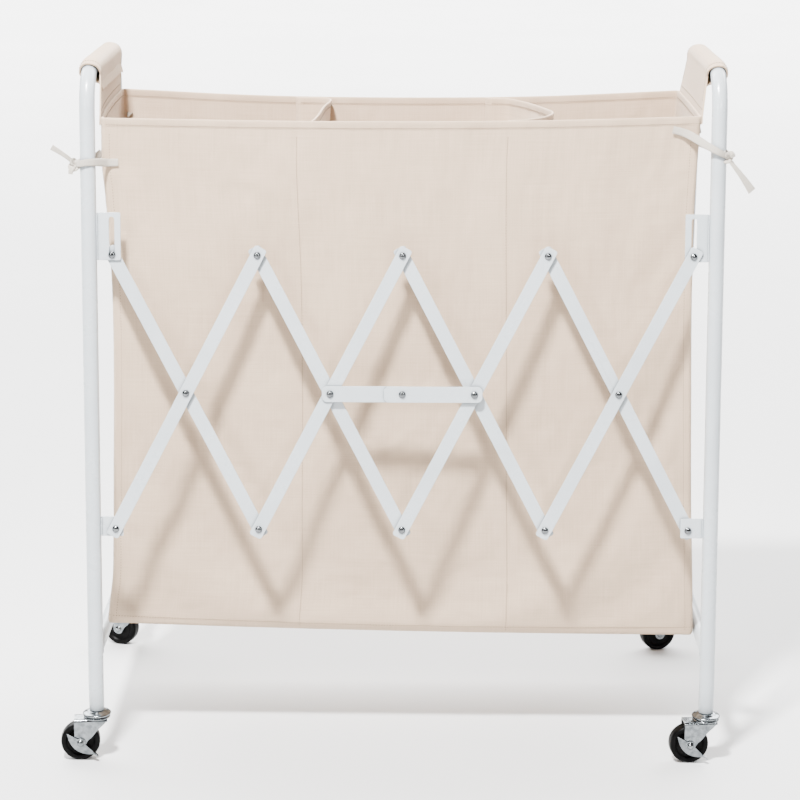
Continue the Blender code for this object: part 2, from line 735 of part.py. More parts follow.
def make_ties():
    """A tape at each corner of the bag, wrapped round the leg, with its loose end standing out."""
    wrap = TUBE_RADIUS + TIE_GAP + TIE_FABRIC / 2
    depth = leg_depth(TIE_HEIGHT)
    corner_x = bag_half_width(TIE_HEIGHT) + 0.0015
    for end, end_sign in ENDS.items():
        for side, sign in SIDES.items():
            centre = Vector((sign * LEG_SPACING / 2, end_sign * depth, TIE_HEIGHT))
            path = [Vector((sign * corner_x, end_sign * (BAG_HALF_DEPTH - 0.002), TIE_HEIGHT))]
            for step in range(13):
                turn = math.radians(-50 + step * 19)
                arm = Vector((-sign * math.cos(turn), -end_sign * math.sin(-turn), 0))
                path.append(centre + (wrap + 0.0001 * step) * arm)
            leave = path[-1]
            out, along, rise = TIE_TAILS[side]
            for share in (0.35, 0.7, 1.0):
                path.append(leave + Vector((out * share, end_sign * along * share, rise * share**1.3)))
            bm = ribbon(path, TIE_WIDTH, TIE_FABRIC)
            place(f"bag_tie_{end}_{side}", finish_mesh(bm, "bag_tie"), CANVAS)


def main():
    clear_scene()
    make_side_frames()
    for end in ENDS:
        make_scissors(end)
        make_braces(end)
        make_brackets(end)
    make_casters()
    make_bag()
    make_sleeves()
    make_ties()


main()
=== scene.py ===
"""Looks of the rolling laundry sorter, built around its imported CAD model.

Metres, +Z up, -Y is the front. Bars, links and brackets keep their CAD meshes. The bent tubes, casters,
rivets and everything sewn are new pieces that ride on the CAD bodies.
"""

import math

import bpy
import numpy as np
from mathutils import Matrix, Vector, noise


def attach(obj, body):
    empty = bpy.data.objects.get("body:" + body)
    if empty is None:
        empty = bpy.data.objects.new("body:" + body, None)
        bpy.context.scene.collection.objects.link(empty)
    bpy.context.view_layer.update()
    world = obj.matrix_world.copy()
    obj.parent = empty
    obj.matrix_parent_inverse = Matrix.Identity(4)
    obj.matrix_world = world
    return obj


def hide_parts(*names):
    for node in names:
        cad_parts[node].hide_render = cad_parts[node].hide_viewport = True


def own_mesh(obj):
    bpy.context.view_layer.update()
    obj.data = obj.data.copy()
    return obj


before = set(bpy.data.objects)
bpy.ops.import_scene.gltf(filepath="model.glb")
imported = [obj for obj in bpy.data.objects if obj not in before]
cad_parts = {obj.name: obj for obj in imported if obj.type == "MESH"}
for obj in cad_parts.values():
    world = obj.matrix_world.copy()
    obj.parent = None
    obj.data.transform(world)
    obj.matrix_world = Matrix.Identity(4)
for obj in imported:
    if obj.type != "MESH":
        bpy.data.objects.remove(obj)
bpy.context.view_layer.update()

SIDES = {"left": -1, "right": 1}
ENDS = {"front": -1, "rear": 1}

# Tube frame, as in the CAD source.
LEG_X = 0.385
FOOT_Y = 0.210
TOP_Y = 0.136
TOP_Z = 0.862
FOOT_Z = 0.065
SPLAY_START = 0.100
FOOT_BEND = 0.150
TOP_BEND = 0.050
TUBE = 0.0095
TUBE_WALL = 0.0012
RAIL = 0.0085
RAIL_Z = 0.140
SLOPE = (FOOT_Y - TOP_Y) / (TOP_Z - SPLAY_START)
SPLAY = math.atan(SLOPE)

# Linkage, as in the CAD source.
LOW_Z = 0.298
HIGH_Z = 0.639
END_X = 0.357
CELL = END_X / 2
RISE = (HIGH_Z - LOW_Z) / math.cos(SPLAY)
OUTER_LOW = 0.0013
OUTER_HIGH = 0.0033
LINK_2_LOW = 0.0055
LINK_2_HIGH = 0.0071
LAYER_GAP = 0.0003

# Casters, as in the CAD source.
TRAIL = 0.0214
WHEEL_RADIUS = 0.0247
FORK_HALF = 0.01175
FORK_TOP = 0.0555
CASTER_TURN = {
    ("front", "left"): 186,
    ("front", "right"): 186,
    ("rear", "left"): 162,
    ("rear", "right"): 198,
}

# Bag. Each profile is a list of (height or place, size) that a smooth line runs through.
RIM_Z = 0.806
BOTTOM_Z = 0.1495
BAG_HALF_DEPTH = 0.127
CANVAS = 0.0015
CORNER_RADIUS = 0.0045
HEM = 0.0100


def leg_y(height):
    """Distance of a leg's centre line from the middle of the sorter, at a height."""
    return FOOT_Y - max(height - SPLAY_START, 0) * SLOPE


# Camera.


def make_camera():
    data = bpy.data.cameras.new("camera")
    data.sensor_width = 36
    data.lens = 108.25
    camera = bpy.data.objects.new("camera", data)
    bpy.context.scene.collection.objects.link(camera)
    tilt = Matrix.Rotation(math.radians(90 - 14.098), 4, "X")
    turn = Matrix.Rotation(math.radians(0.339), 4, "Z")
    roll = Matrix.Rotation(math.radians(0.148), 4, "Z")
    camera.matrix_world = Matrix.Translation((0.0144, -3.0647, 1.1866)) @ turn @ tilt @ roll
    bpy.context.scene.camera = camera


# Materials. Every pattern is in object space, or in the cloth's own coordinates in metres.


class Look:
    """A Principled material under construction, with short calls for its nodes."""

    def __init__(self, name, roughness=0.5, metallic=0.0, **sockets):
        self.material = bpy.data.materials.new(name)
        self.material.use_nodes = True
        self.tree = self.material.node_tree
        self.shader = self.tree.nodes["Principled BSDF"]
        self.shader.inputs["Roughness"].default_value = roughness
        self.shader.inputs["Metallic"].default_value = metallic
        for socket, value in sockets.items():
            self.shader.inputs[socket.replace("_", " ")].default_value = value

    def node(self, kind, **inputs):
        made = self.tree.nodes.new(kind)
        for name, value in inputs.items():
            self.put(made.inputs[name.replace("_", " ")], value)
        return made

    def put(self, socket, value):
        if isinstance(value, bpy.types.NodeSocket):
            self.tree.links.new(value, socket)
        else:
            socket.default_value = value

    def place(self):
        return self.node("ShaderNodeTexCoord").outputs["Object"]

    def cloth_place(self):
        made = self.node("ShaderNodeAttribute")
        made.attribute_name = "cloth"
        return made.outputs["Vector"]

    def stretched(self, vector, scale):
        return self.node("ShaderNodeMapping", Vector=vector, Scale=scale).outputs["Vector"]

    def noise(self, vector, scale, detail=2.0, rough=0.5):
        return self.node("ShaderNodeTexNoise", Vector=vector, Scale=scale, Detail=detail, Roughness=rough).outputs["Fac"]

    def wave(self, vector, scale, direction, distortion=0.0):
        made = self.node("ShaderNodeTexWave", Vector=vector, Scale=scale, Distortion=distortion)
        made.bands_direction = direction
        made.wave_profile = "SIN"
        return made.outputs["Fac"]

    def math(self, operation, first, second):
        made = self.node("ShaderNodeMath")
        made.operation = operation
        self.put(made.inputs[0], first)
        self.put(made.inputs[1], second)
        return made.outputs["Value"]

    def spread(self, value, low, high, to_low, to_high):
        made = self.node("ShaderNodeMapRange", Value=value)
        for name, number in zip(("From Min", "From Max", "To Min", "To Max"), (low, high, to_low, to_high)):
            made.inputs[name].default_value = number
        return made.outputs["Result"]

    def ramp(self, value, *stops):
        made = self.node("ShaderNodeValToRGB", Fac=value)
        elements = made.color_ramp.elements
        while len(elements) < len(stops):
            elements.new(0.5)
        for element, (position, colour) in zip(elements, stops):
            element.position = position
            element.color = (*colour, 1)
        return made.outputs["Color"]

    def bump(self, height, distance, strength=1.0, after=None):
        made = self.node("ShaderNodeBump", Height=height, Distance=distance, Strength=strength)
        if after is not None:
            self.put(made.inputs["Normal"], after)
        return made.outputs["Normal"]

    def finish(self, colour=None, roughness=None, normal=None):
        for name, value in (("Base Color", colour), ("Roughness", roughness), ("Normal", normal)):
            if value is not None:
                self.put(self.shader.inputs[name], value)
        return self.material


def paint_look():
    """White gloss powder coat: a fine orange peel, faint dust, and painted shade that turns it grey where plates meet.
    """
    look = Look("white_powder_coat", Coat_Weight=0.25, Coat_Roughness=0.12)
    place = look.place()
    peel = look.noise(place, 900, 2)
    dust = look.noise(place, 14, 5, 0.6)
    # Painted shade: an occlusion node darkens the colour where other parts come close, as shade would.
    painted_contact_shade = look.node("ShaderNodeAmbientOcclusion", Distance=0.005).outputs["AO"]
    dust_and_painted_shade = look.math("MULTIPLY", painted_contact_shade, look.spread(dust, 0.3, 0.62, 0.88, 1.0))
    # The painted shade, times the dust's tone, picks the colour from dark grey up to white.
    colour = look.ramp(dust_and_painted_shade, (0.35, (0.14, 0.155, 0.165)), (0.86, (0.39, 0.422, 0.445)), (1.0, (0.445, 0.478, 0.50)))
    rough = look.spread(dust, 0.3, 0.7, 0.34, 0.24)
    return look.finish(colour, rough, look.bump(peel, 0.00012, 0.5))


def zinc_look():
    """Bright zinc plate: cloudy, a little uneven in gloss."""
    look = Look("zinc_plate", metallic=1.0)
    place = look.place()
    cloud = look.noise(place, 160, 4, 0.6)
    grain = look.noise(look.stretched(place, (1, 1, 6)), 700, 2)
    colour = look.ramp(cloud, (0.30, (0.10, 0.112, 0.12)), (0.70, (0.27, 0.288, 0.30)))
    return look.finish(colour, look.spread(cloud, 0.3, 0.7, 0.27, 0.15), look.bump(grain, 0.00005, 0.6))


def rivet_look():
    """Polished rivet steel, a little darker than the zinc plate."""
    look = Look("rivet_steel", metallic=1.0)
    cloud = look.noise(look.place(), 420, 3, 0.6)
    colour = look.ramp(cloud, (0.30, (0.09, 0.095, 0.10)), (0.70, (0.22, 0.23, 0.24)))
    return look.finish(colour, look.spread(cloud, 0.3, 0.7, 0.26, 0.12), look.bump(cloud, 0.00005, 0.5))


def tyre_look():
    """Black moulded wheel, satin, with a fine grain and a bloom of dust."""
    look = Look("black_wheel", Specular_IOR_Level=0.05)
    place = look.place()
    dust = look.noise(place, 90, 4, 0.6)
    colour = look.ramp(dust, (0.35, (0.0009, 0.0009, 0.001)), (0.80, (0.004, 0.0038, 0.0036)))
    grain = look.noise(place, 1500, 2)
    return look.finish(colour, look.spread(dust, 0.3, 0.7, 0.32, 0.46), look.bump(grain, 0.00008, 0.5))


def canvas_look(name, pitch, low, high, depth=0.00022):
    """Plain-weave cotton: over and under threads, slubs along both directions, flecks and soft tone changes."""
    look = Look(name, roughness=0.88, Sheen_Weight=0.22, Sheen_Roughness=0.45, Specular_IOR_Level=0.25)
    cloth = look.cloth_place()
    turns = 1 / (2 * pitch)
    wobble = look.node("ShaderNodeVectorMath")
    wobble.operation = "ADD"
    jitter = look.node("ShaderNodeTexNoise", Vector=cloth, Scale=220.0, Detail=1.0)
    scaled = look.node("ShaderNodeVectorMath")
    scaled.operation = "SCALE"
    look.put(scaled.inputs[0], jitter.outputs["Color"])
    scaled.inputs["Scale"].default_value = pitch * 0.35
    look.put(wobble.inputs[0], cloth)
    look.put(wobble.inputs[1], scaled.outputs["Vector"])
    threads = wobble.outputs["Vector"]
    checker = look.node("ShaderNodeTexChecker", Vector=threads, Scale=1 / pitch)
    across = look.wave(threads, turns, "X")
    along = look.wave(threads, turns, "Y")
    weave = look.node("ShaderNodeMix", Factor=checker.outputs["Fac"], A=across, B=along).outputs["Result"]
    slub_x = look.noise(look.stretched(cloth, (14, 700, 1)), 1.0, 3, 0.55)
    slub_y = look.noise(look.stretched(cloth, (700, 14, 1)), 1.0, 3, 0.55)
    slubs = look.math("ADD", slub_x, slub_y)
    cloudy = look.noise(cloth, 7.0, 4, 0.55)
    fleck = look.spread(look.noise(cloth, 420.0, 2, 0.5), 0.70, 0.76, 0.0, 1.0)
    tone = look.math("ADD", look.math("MULTIPLY", slubs, 0.32), look.math("MULTIPLY", cloudy, 0.38))
    tone = look.math("ADD", tone, look.math("MULTIPLY", weave, 0.10))
    tone = look.math("SUBTRACT", tone, look.math("MULTIPLY", fleck, 0.22))
    colour = look.ramp(tone, (0.28, low), (0.72, high))
    fine = look.bump(weave, depth, 0.7)
    coarse = look.bump(slubs, depth * 1.2, 0.5, fine)
    return look.finish(colour, look.spread(cloudy, 0.3, 0.7, 0.84, 0.92), coarse)


# Mesh builders. A band of points is an array of rows x columns x 3.


def add_object(name, points, faces, *looks, smooth=True):
    mesh = bpy.data.meshes.new(name)
    mesh.from_pydata([tuple(p) for p in points], [], [tuple(f) for f in faces])
    mesh.validate()
    if smooth:
        mesh.shade_smooth()
    for look in looks:
        mesh.materials.append(look)
    made = bpy.data.objects.new(name, mesh)
    bpy.context.scene.collection.objects.link(made)
    return made


class Shape:
    """Points and faces gathered from several closed solids."""

    def __init__(self):
        self.points = []
        self.faces = []
        self.cloth = []

    def add(self, points, faces, cloth=None):
        base = len(self.points)
        self.points += [Vector(p) for p in points]
        self.faces += [[base + k for k in face] for face in faces]
        self.cloth += [tuple(c) for c in cloth] if cloth is not None else [(0, 0, 0)] * len(points)
        return self

    def moved(self, matrix):
        self.points = [matrix @ p for p in self.points]
        return self

    def join(self, other):
        return self.add(other.points, other.faces, other.cloth)

    def build(self, name, look, sharp=None, cloth=False):
        made = add_object(name, self.points, self.faces, look)
        if sharp is not None:
            made.data.set_sharp_from_angle(angle=math.radians(sharp))
        if cloth:
            layer = made.data.attributes.new("cloth", "FLOAT_VECTOR", "POINT")
            layer.data.foreach_set("vector", [x for c in self.cloth for x in c])
        return made


def band_faces(rows, columns, closed=False, start=0, flip=False):
    """Quads of a grid of points, wrapped round along its columns if closed."""
    faces = []
    for r in range(rows - 1):
        for c in range(columns if closed else columns - 1):
            after = (c + 1) % columns
            quad = [start + r * columns + c, start + r * columns + after,
                    start + (r + 1) * columns + after, start + (r + 1) * columns + c]
            faces.append(quad[::-1] if flip else quad)
    return faces


def turned(profile, sides=40):
    """A solid of revolution about Z from (radius, height) points, closed on the axis or as a ring."""
    ring_shaped = profile[0] == profile[-1]
    points = profile[:-1] if ring_shaped else profile
    shape = Shape()
    angles = [2 * math.pi * k / sides for k in range(sides)]
    verts = [(r * math.cos(t), r * math.sin(t), h) for r, h in points for t in angles]
    faces = band_faces(len(points), sides, closed=True)
    if ring_shaped:
        last = (len(points) - 1) * sides
        for k in range(sides):
            after = (k + 1) % sides
            faces.append([last + k, last + after, after, k])
    else:
        faces.append(list(range(sides))[::-1])
        last = (len(points) - 1) * sides
        faces.append([last + k for k in range(sides)])
    shape.add(verts, faces)
    return shape


def frames_along(path, up=Vector((0, 0, 1))):
    """A tangent and two normals at each point of a path, turned as little as possible along it."""
    made = []
    side = None
    for k, point in enumerate(path):
        tangent = (path[min(k + 1, len(path) - 1)] - path[max(k - 1, 0)]).normalized()
        if side is None:
            side = tangent.cross(up if abs(tangent.dot(up)) < 0.95 else Vector((1, 0, 0)))
        side = (side - side.dot(tangent) * tangent).normalized()
        made.append((tangent, side, side.cross(tangent)))
    return made


def swept(path, section, caps=True, closed=False, sizes=None, up=Vector((0, 0, 1))):
    """A solid along a path. The section is a list of (side, up) offsets, scaled by sizes along the way."""
    shape = Shape()
    verts = []
    for k, (point, (_, side, rise)) in enumerate(zip(path, frames_along(path, up))):
        size = sizes[k] if sizes is not None else 1.0
        verts += [point + size * (x * side + y * rise) for x, y in section]
    count = len(section)
    faces = band_faces(len(path), count, closed=True, flip=True)
    if closed:
        last = (len(path) - 1) * count
        for k in range(count):
            after = (k + 1) % count
            faces.append([last + k, k, after, last + after])
    elif caps:
        faces.append(list(range(count)))
        faces.append([(len(path) - 1) * count + k for k in range(count)][::-1])
    shape.add(verts, faces)
    return shape


def circle(radius, sides=12):
    return [(radius * math.cos(2 * math.pi * k / sides), radius * math.sin(2 * math.pi * k / sides))
            for k in range(sides)]


def smooth_line(points, count):
    """Points evenly along a smooth curve through the given ones."""
    knots = [Vector(p) for p in points]
    dense = []
    for k in range(len(knots) - 1):
        before = knots[max(k - 1, 0)]
        after = knots[min(k + 2, len(knots) - 1)]
        for step in range(12):
            t = step / 12
            a = 2 * knots[k]
            b = (knots[k + 1] - before) * t
            c = (2 * before - 5 * knots[k] + 4 * knots[k + 1] - after) * t**2
            d = (3 * knots[k] - before - 3 * knots[k + 1] + after) * t**3
            dense.append((a + b + c + d) / 2)
    dense.append(knots[-1])
    lengths = [0.0]
    for first, second in zip(dense, dense[1:]):
        lengths.append(lengths[-1] + (second - first).length)
    made = []
    for goal in np.linspace(0, lengths[-1], count):
        k = min(max(int(np.searchsorted(lengths, goal)) - 1, 0), len(dense) - 2)
        span = max(lengths[k + 1] - lengths[k], 1e-12)
        made.append(dense[k].lerp(dense[k + 1], (goal - lengths[k]) / span))
    return made


def through(points, x):
    """A smooth line through (place, value) points, read at x, which may be an array."""
    places = np.array([p for p, _ in points], float)
    values = np.array([v for _, v in points], float)
    x = np.clip(np.asarray(x, float), places[0], places[-1])
    slopes = np.gradient(values, places)
    k = np.clip(np.searchsorted(places, x) - 1, 0, len(places) - 2)
    width = places[k + 1] - places[k]
    t = (x - places[k]) / width
    first = (2 * t**3 - 3 * t**2 + 1) * values[k] + (t**3 - 2 * t**2 + t) * width * slopes[k]
    return first + (3 * t**2 - 2 * t**3) * values[k + 1] + (t**3 - t**2) * width * slopes[k + 1]


def finish_piece(piece, body, slot, *nodes):
    """Rides on a body and stands for CAD nodes. The slot argument is not used."""
    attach(piece, body)
    if nodes:
        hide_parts(*nodes)
    return piece


# Tube frames with their weld beads.


def bent(corners, radii, steps):
    """A path through corners, each rounded to its radius."""
    path = [corners[0]]
    for here, radius, count, before, after in zip(corners[1:-1], radii, steps, corners, corners[2:]):
        back = (before - here).normalized()
        ahead = (after - here).normalized()
        half = back.angle(ahead) / 2
        centre = here + (back + ahead).normalized() * radius / math.sin(half)
        start = here + back * radius / math.tan(half) - centre
        axis = back.cross(ahead).normalized()
        for step in range(count + 1):
            turn = Matrix.Rotation(-(math.pi - 2 * half) * step / count, 3, axis)
            path.append(centre + turn @ start)
    path.append(corners[-1])
    return path


def frame_line(x):
    """The bent tube's centre line, from the front foot over the top to the rear foot."""
    corners = [Vector((x, y, z)) for y, z in (
        (-FOOT_Y, FOOT_Z), (-FOOT_Y, SPLAY_START), (-TOP_Y, TOP_Z),
        (TOP_Y, TOP_Z), (FOOT_Y, SPLAY_START), (FOOT_Y, FOOT_Z))]
    return bent(corners, (FOOT_BEND, TOP_BEND, TOP_BEND, FOOT_BEND), (6, 16, 16, 6))


def pipe(path, outer, inner, sides=40):
    """A tube with a wall, its ends rolled in a little."""
    shape = Shape()
    across = Vector((1, 0, 0))
    verts = []
    tangents = [(path[min(k + 1, len(path) - 1)] - path[max(k - 1, 0)]).normalized() for k in range(len(path))]
    first, last = path[0], path[-1]
    lip = 0.0006
    rings = [(first + tangents[0] * lip, tangents[0], inner), (first, tangents[0], (inner + outer) / 2)]
    rings += [(point, tangent, outer) for point, tangent in zip(path, tangents)]
    rings[2] = (first + tangents[0] * lip, tangents[0], outer)
    rings[-1] = (last - tangents[-1] * lip, tangents[-1], outer)
    rings += [(last, tangents[-1], (inner + outer) / 2), (last - tangents[-1] * lip, tangents[-1], inner)]
    rings += [(point, tangent, inner) for point, tangent in list(zip(path, tangents))[-2:0:-1]]
    for point, tangent, radius in rings:
        normal = tangent.cross(across)
        verts += [point + radius * (math.cos(t) * across + math.sin(t) * normal)
                  for t in (2 * math.pi * k / sides for k in range(sides))]
    faces = band_faces(len(rings), sides, closed=True)
    base = (len(rings) - 1) * sides
    for k in range(sides):
        after = (k + 1) % sides
        faces.append([base + k, base + after, after, k])
    shape.add(verts, faces)
    return shape


def bead(path, radius, closed=False):
    """A weld bead: a thin cord with the ripples of its puddles."""
    sizes = [1 + 0.16 * math.sin(2.4 * k) + 0.10 * math.sin(0.9 * k + 1) for k in range(len(path))]
    return swept(path, circle(radius, 8), closed=closed, sizes=sizes)


def rail_bead(x, y_side):
    """The weld round a rail's end, on the round of the leg."""
    ring = []
    for k in range(44):
        turn = 2 * math.pi * k / 44
        off = RAIL * math.cos(turn)
        z = RAIL_Z + RAIL * math.sin(turn)
        inset = math.sqrt(max(TUBE**2 - off**2, 0)) / math.cos(SPLAY)
        ring.append(Vector((x + off, y_side * (leg_y(z) - inset - 0.0002), z)))
    return bead(ring, 0.0014, closed=True)


def bracket_bead(x, y_side, low, high, face):
    """The weld down one face of a bracket, against the leg."""
    side = -1 if x > 0 else 1
    across = Vector((side * (TUBE + 0.0004), 0, 0))
    path = []
    for z in np.linspace(low, high, 26):
        centre = Vector((x, y_side * leg_y(z), z))
        path.append(centre + across + Vector((0, face * y_side * 0.0016, face * 0.0016 * math.sin(SPLAY))))
    return bead(path, 0.0011)


def make_tubes(paint):
    for side, sign in SIDES.items():
        x = sign * LEG_X
        frame_tube = pipe(frame_line(x), TUBE, TUBE - TUBE_WALL, 44)
        reach = leg_y(RAIL_Z) - TUBE / math.cos(SPLAY) + 0.0008
        rail = pipe([Vector((x, y, RAIL_Z)) for y in np.linspace(-reach, reach, 12)], RAIL, RAIL - TUBE_WALL, 36)
        for y_side in ENDS.values():
            rail.join(rail_bead(x, y_side))
            for face in (-1, 1):
                frame_tube.join(bracket_bead(x, y_side, LOW_Z - 0.008, LOW_Z + 0.014, face))
                frame_tube.join(bracket_bead(x, y_side, HIGH_Z - 0.005, HIGH_Z + 0.050, face))
        piece = frame_tube.build(f"frame_tube_{side}", paint, sharp=60)
        finish_piece(piece, f"{side}_frame", "white_paint", f"side_frame_{side}")
        piece = rail.build(f"foot_rail_{side}", paint, sharp=60)
        finish_piece(piece, f"{side}_frame", "white_paint", f"lower_rail_{side}")


# Linkage: CAD bars, links and brackets with softened edges, and rivets over the CAD ones.


def soften(piece, look, width):
    """New material and a small round on every edge of a CAD node."""
    piece.data.materials.clear()
    piece.data.materials.append(look)
    weld = piece.modifiers.new("weld", "WELD")
    weld.merge_threshold = 0.00001
    rounded = piece.modifiers.new("edges", "BEVEL")
    rounded.width = width
    rounded.segments = 2
    rounded.limit_method = "ANGLE"
    rounded.angle_limit = math.radians(40)
    rounded.harden_normals = True


def linkage_plane(end):
    lean = Matrix.Rotation(math.pi / 2 - SPLAY, 4, "X")
    at = Matrix.Translation((0, -leg_y(LOW_Z), LOW_Z)) @ lean
    return at if end == "front" else Matrix.Rotation(math.pi, 4, "Z") @ at


def rivet_head():
    return turned([(0.0001, 0.00258), (0.0013, 0.00250), (0.0025, 0.00225), (0.0034, 0.00178),
                   (0.00405, 0.00112), (0.0044, 0.0004), (0.0044, -0.0001), (0.0001, -0.0001)][::-1], 24)


def rivet_tail():
    return turned([(0.0001, 0.00155), (0.0014, 0.0016), (0.0026, 0.00175), (0.0037, 0.00155),
                   (0.0044, 0.0009), (0.0045, 0.0003), (0.0044, -0.0001), (0.0001, -0.0001)][::-1], 24)


def rivet(x, y, head_at, tail_at=None):
    """A rivet's domed head, and its rolled tail where it has one, in the linkage's own plane."""
    shape = rivet_head().moved(Matrix.Translation((x, y, head_at)))
    if tail_at is not None:
        over = Matrix.Translation((x, y, tail_at)) @ Matrix.Rotation(math.pi, 4, "X")
        shape.join(rivet_tail().moved(over))
    return shape


def make_linkage(paint, zinc):
    for name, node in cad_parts.items():
        if name.startswith(("scissor_bar", "brace_link", "slot_bracket", "pivot_bracket")):
            soften(node, paint, 0.00035)
    behind_bracket = -0.0013
    behind_bar = -OUTER_HIGH - LAYER_GAP
    for end in ENDS:
        plane = linkage_plane(end)
        for cell in range(4):
            number = cell + 1 if end == "front" else 4 - cell
            outer, inner = ("rise", "fall") if end == "front" else ("fall", "rise")
            low_x = -END_X + cell * CELL
            middle = low_x + CELL / 2
            centre_head = {1: LINK_2_LOW, 2: LINK_2_HIGH + LAYER_GAP}.get(cell, OUTER_HIGH)
            rivets = rivet(low_x, 0, OUTER_HIGH, behind_bracket if cell == 0 else behind_bar)
            rivets.join(rivet(middle, RISE / 2, centre_head, behind_bar))
            rivets.join(rivet(low_x + CELL, RISE, OUTER_HIGH, behind_bracket if cell == 3 else behind_bar))
            piece = rivets.moved(plane).build(f"rivets_{end}_{outer}_{number}", zinc)
            finish_piece(piece, f"bar_{end}_{outer}_{number}", "zinc")
            if cell in (0, 3):
                at_x, at_y = (low_x, RISE) if cell == 0 else (low_x + CELL, 0)
                single = rivet(at_x, at_y, OUTER_LOW, -OUTER_HIGH).moved(plane)
                piece = single.build(f"rivet_{end}_{inner}_{number}", zinc)
                finish_piece(piece, f"bar_{end}_{inner}_{number}", "zinc")
        side = "right" if end == "front" else "left"
        centre = rivet(0, RISE / 2, LINK_2_HIGH).moved(plane)
        finish_piece(centre.build(f"rivet_{end}_brace", zinc), f"brace_{end}_{side}", "zinc")


# Casters. In a caster's own frame the stem is the Z axis, the wheel trails along +X, and Y is the axle.

ABOUT_AXLE = Matrix.Rotation(-math.pi / 2, 4, "X")


def dish_shape():
    """Stem, flared upper dish, kingpin and its peened head."""
    profile = [(0.0001, 0.0500), (0.0040, 0.0502), (0.0066, 0.0508), (0.0074, 0.0518), (0.0074, 0.0527),
               (0.0042, 0.0528), (0.0042, 0.0584), (0.0150, 0.0585), (0.0171, 0.0588), (0.0178, 0.0596),
               (0.0178, 0.0607), (0.0172, 0.0614), (0.0158, 0.0618), (0.0142, 0.0624), (0.0126, 0.0633),
               (0.0113, 0.0642), (0.0102, 0.0647), (0.0076, 0.0647), (0.0076, 0.0920), (0.0066, 0.0948),
               (0.0001, 0.0950)]
    return turned(profile, 48)


def cheek_low(x):
    """The lower edge of a fork cheek at a place along the wheel's way."""
    tip = 0.0075
    slope = through([(-0.0130, 0.0535), (-0.0080, 0.0480), (0.0, 0.0405), (0.0070, 0.0315), (0.0125, 0.0265),
                     (0.0160, 0.0200), (0.0295, 0.0100)], x)
    off = min(abs(x - TRAIL) / tip, 1.0)
    round_tip = WHEEL_RADIUS - tip * math.sqrt(max(1 - off**2, 0))
    return max(float(slope), round_tip) if x < TRAIL else round_tip


def fork_shape():
    """A fork bent from one sheet, with its raised race."""
    sheet = 0.002
    bend = 0.0028
    places = np.concatenate([np.linspace(-0.0130, 0.0100, 14), np.linspace(0.0118, 0.0288, 24)])
    rows_up = 9
    half = FORK_HALF - sheet / 2
    top = FORK_TOP - sheet / 2
    middle = []
    for x in places:
        low = cheek_low(x)
        line = [(-half, z) for z in np.linspace(low, top - bend, rows_up)]
        turns = [math.radians(a) for a in (22.5, 45, 67.5, 90)]
        line += [(-half + bend * (1 - math.cos(t)), top - bend + bend * math.sin(t)) for t in turns]
        line += [(y, top) for y in np.linspace(-half + bend, half - bend, 9)[1:-1]]
        line += [(half - bend * (1 - math.cos(t)), top - bend + bend * math.sin(t)) for t in turns[::-1]]
        line += [(half, z) for z in np.linspace(top - bend, low, rows_up)]
        middle.append([(x, y, z) for y, z in line])
    shape = thick_band(np.array(middle), np.full((len(places), len(middle[0])), sheet))
    race = [(0.0060, 0.0548), (0.0060, 0.0574), (0.0068, 0.0580), (0.0120, 0.0580), (0.0150, 0.0578),
            (0.0164, 0.0571), (0.0169, 0.0560), (0.0167, 0.0552), (0.0160, 0.0548), (0.0060, 0.0548)]
    shape.join(turned(race, 48))
    return shape


def axle_shape(braked):
    """The axle: a domed head on the brake's side and a hexagonal nut on the other."""
    head = FORK_HALF + (0.0026 if braked else 0.0002)
    dome = [(0.0001, head + 0.0024), (0.0020, head + 0.0021), (0.0034, head + 0.0013), (0.0042, head + 0.0003),
            (0.0042, head - 0.0002), (0.0026, head - 0.0002), (0.0026, -FORK_HALF - 0.0030),
            (0.0001, -FORK_HALF - 0.0032)]
    shape = turned(dome[::-1], 24)
    nut_low = -FORK_HALF - 0.0022
    nut = turned([(0.0001, nut_low), (0.0043, nut_low), (0.0049, nut_low + 0.0004),
                  (0.0049, -FORK_HALF + 0.0003), (0.0001, -FORK_HALF + 0.0003)], 6)
    return shape.join(nut).moved(Matrix.Translation((TRAIL, 0, WHEEL_RADIUS)) @ ABOUT_AXLE)


def wheel_shape():
    """A moulded wheel with a rounded tread, a recessed web and a hub."""
    half_profile = [(0.0033, 0.0090), (0.0070, 0.0090), (0.0078, 0.0084), (0.0084, 0.0070), (0.0098, 0.0062),
                    (0.0160, 0.0060), (0.0174, 0.0066), (0.0181, 0.0082), (0.0190, 0.0088), (0.0216, 0.0089),
                    (0.0231, 0.0085), (0.0241, 0.0074), (0.0246, 0.0055), (0.0247, 0.0030), (0.0247, 0.0)]
    profile = [(r, -h) for r, h in half_profile] + half_profile[-2::-1]
    profile.append(profile[0])
    return turned(profile, 64)


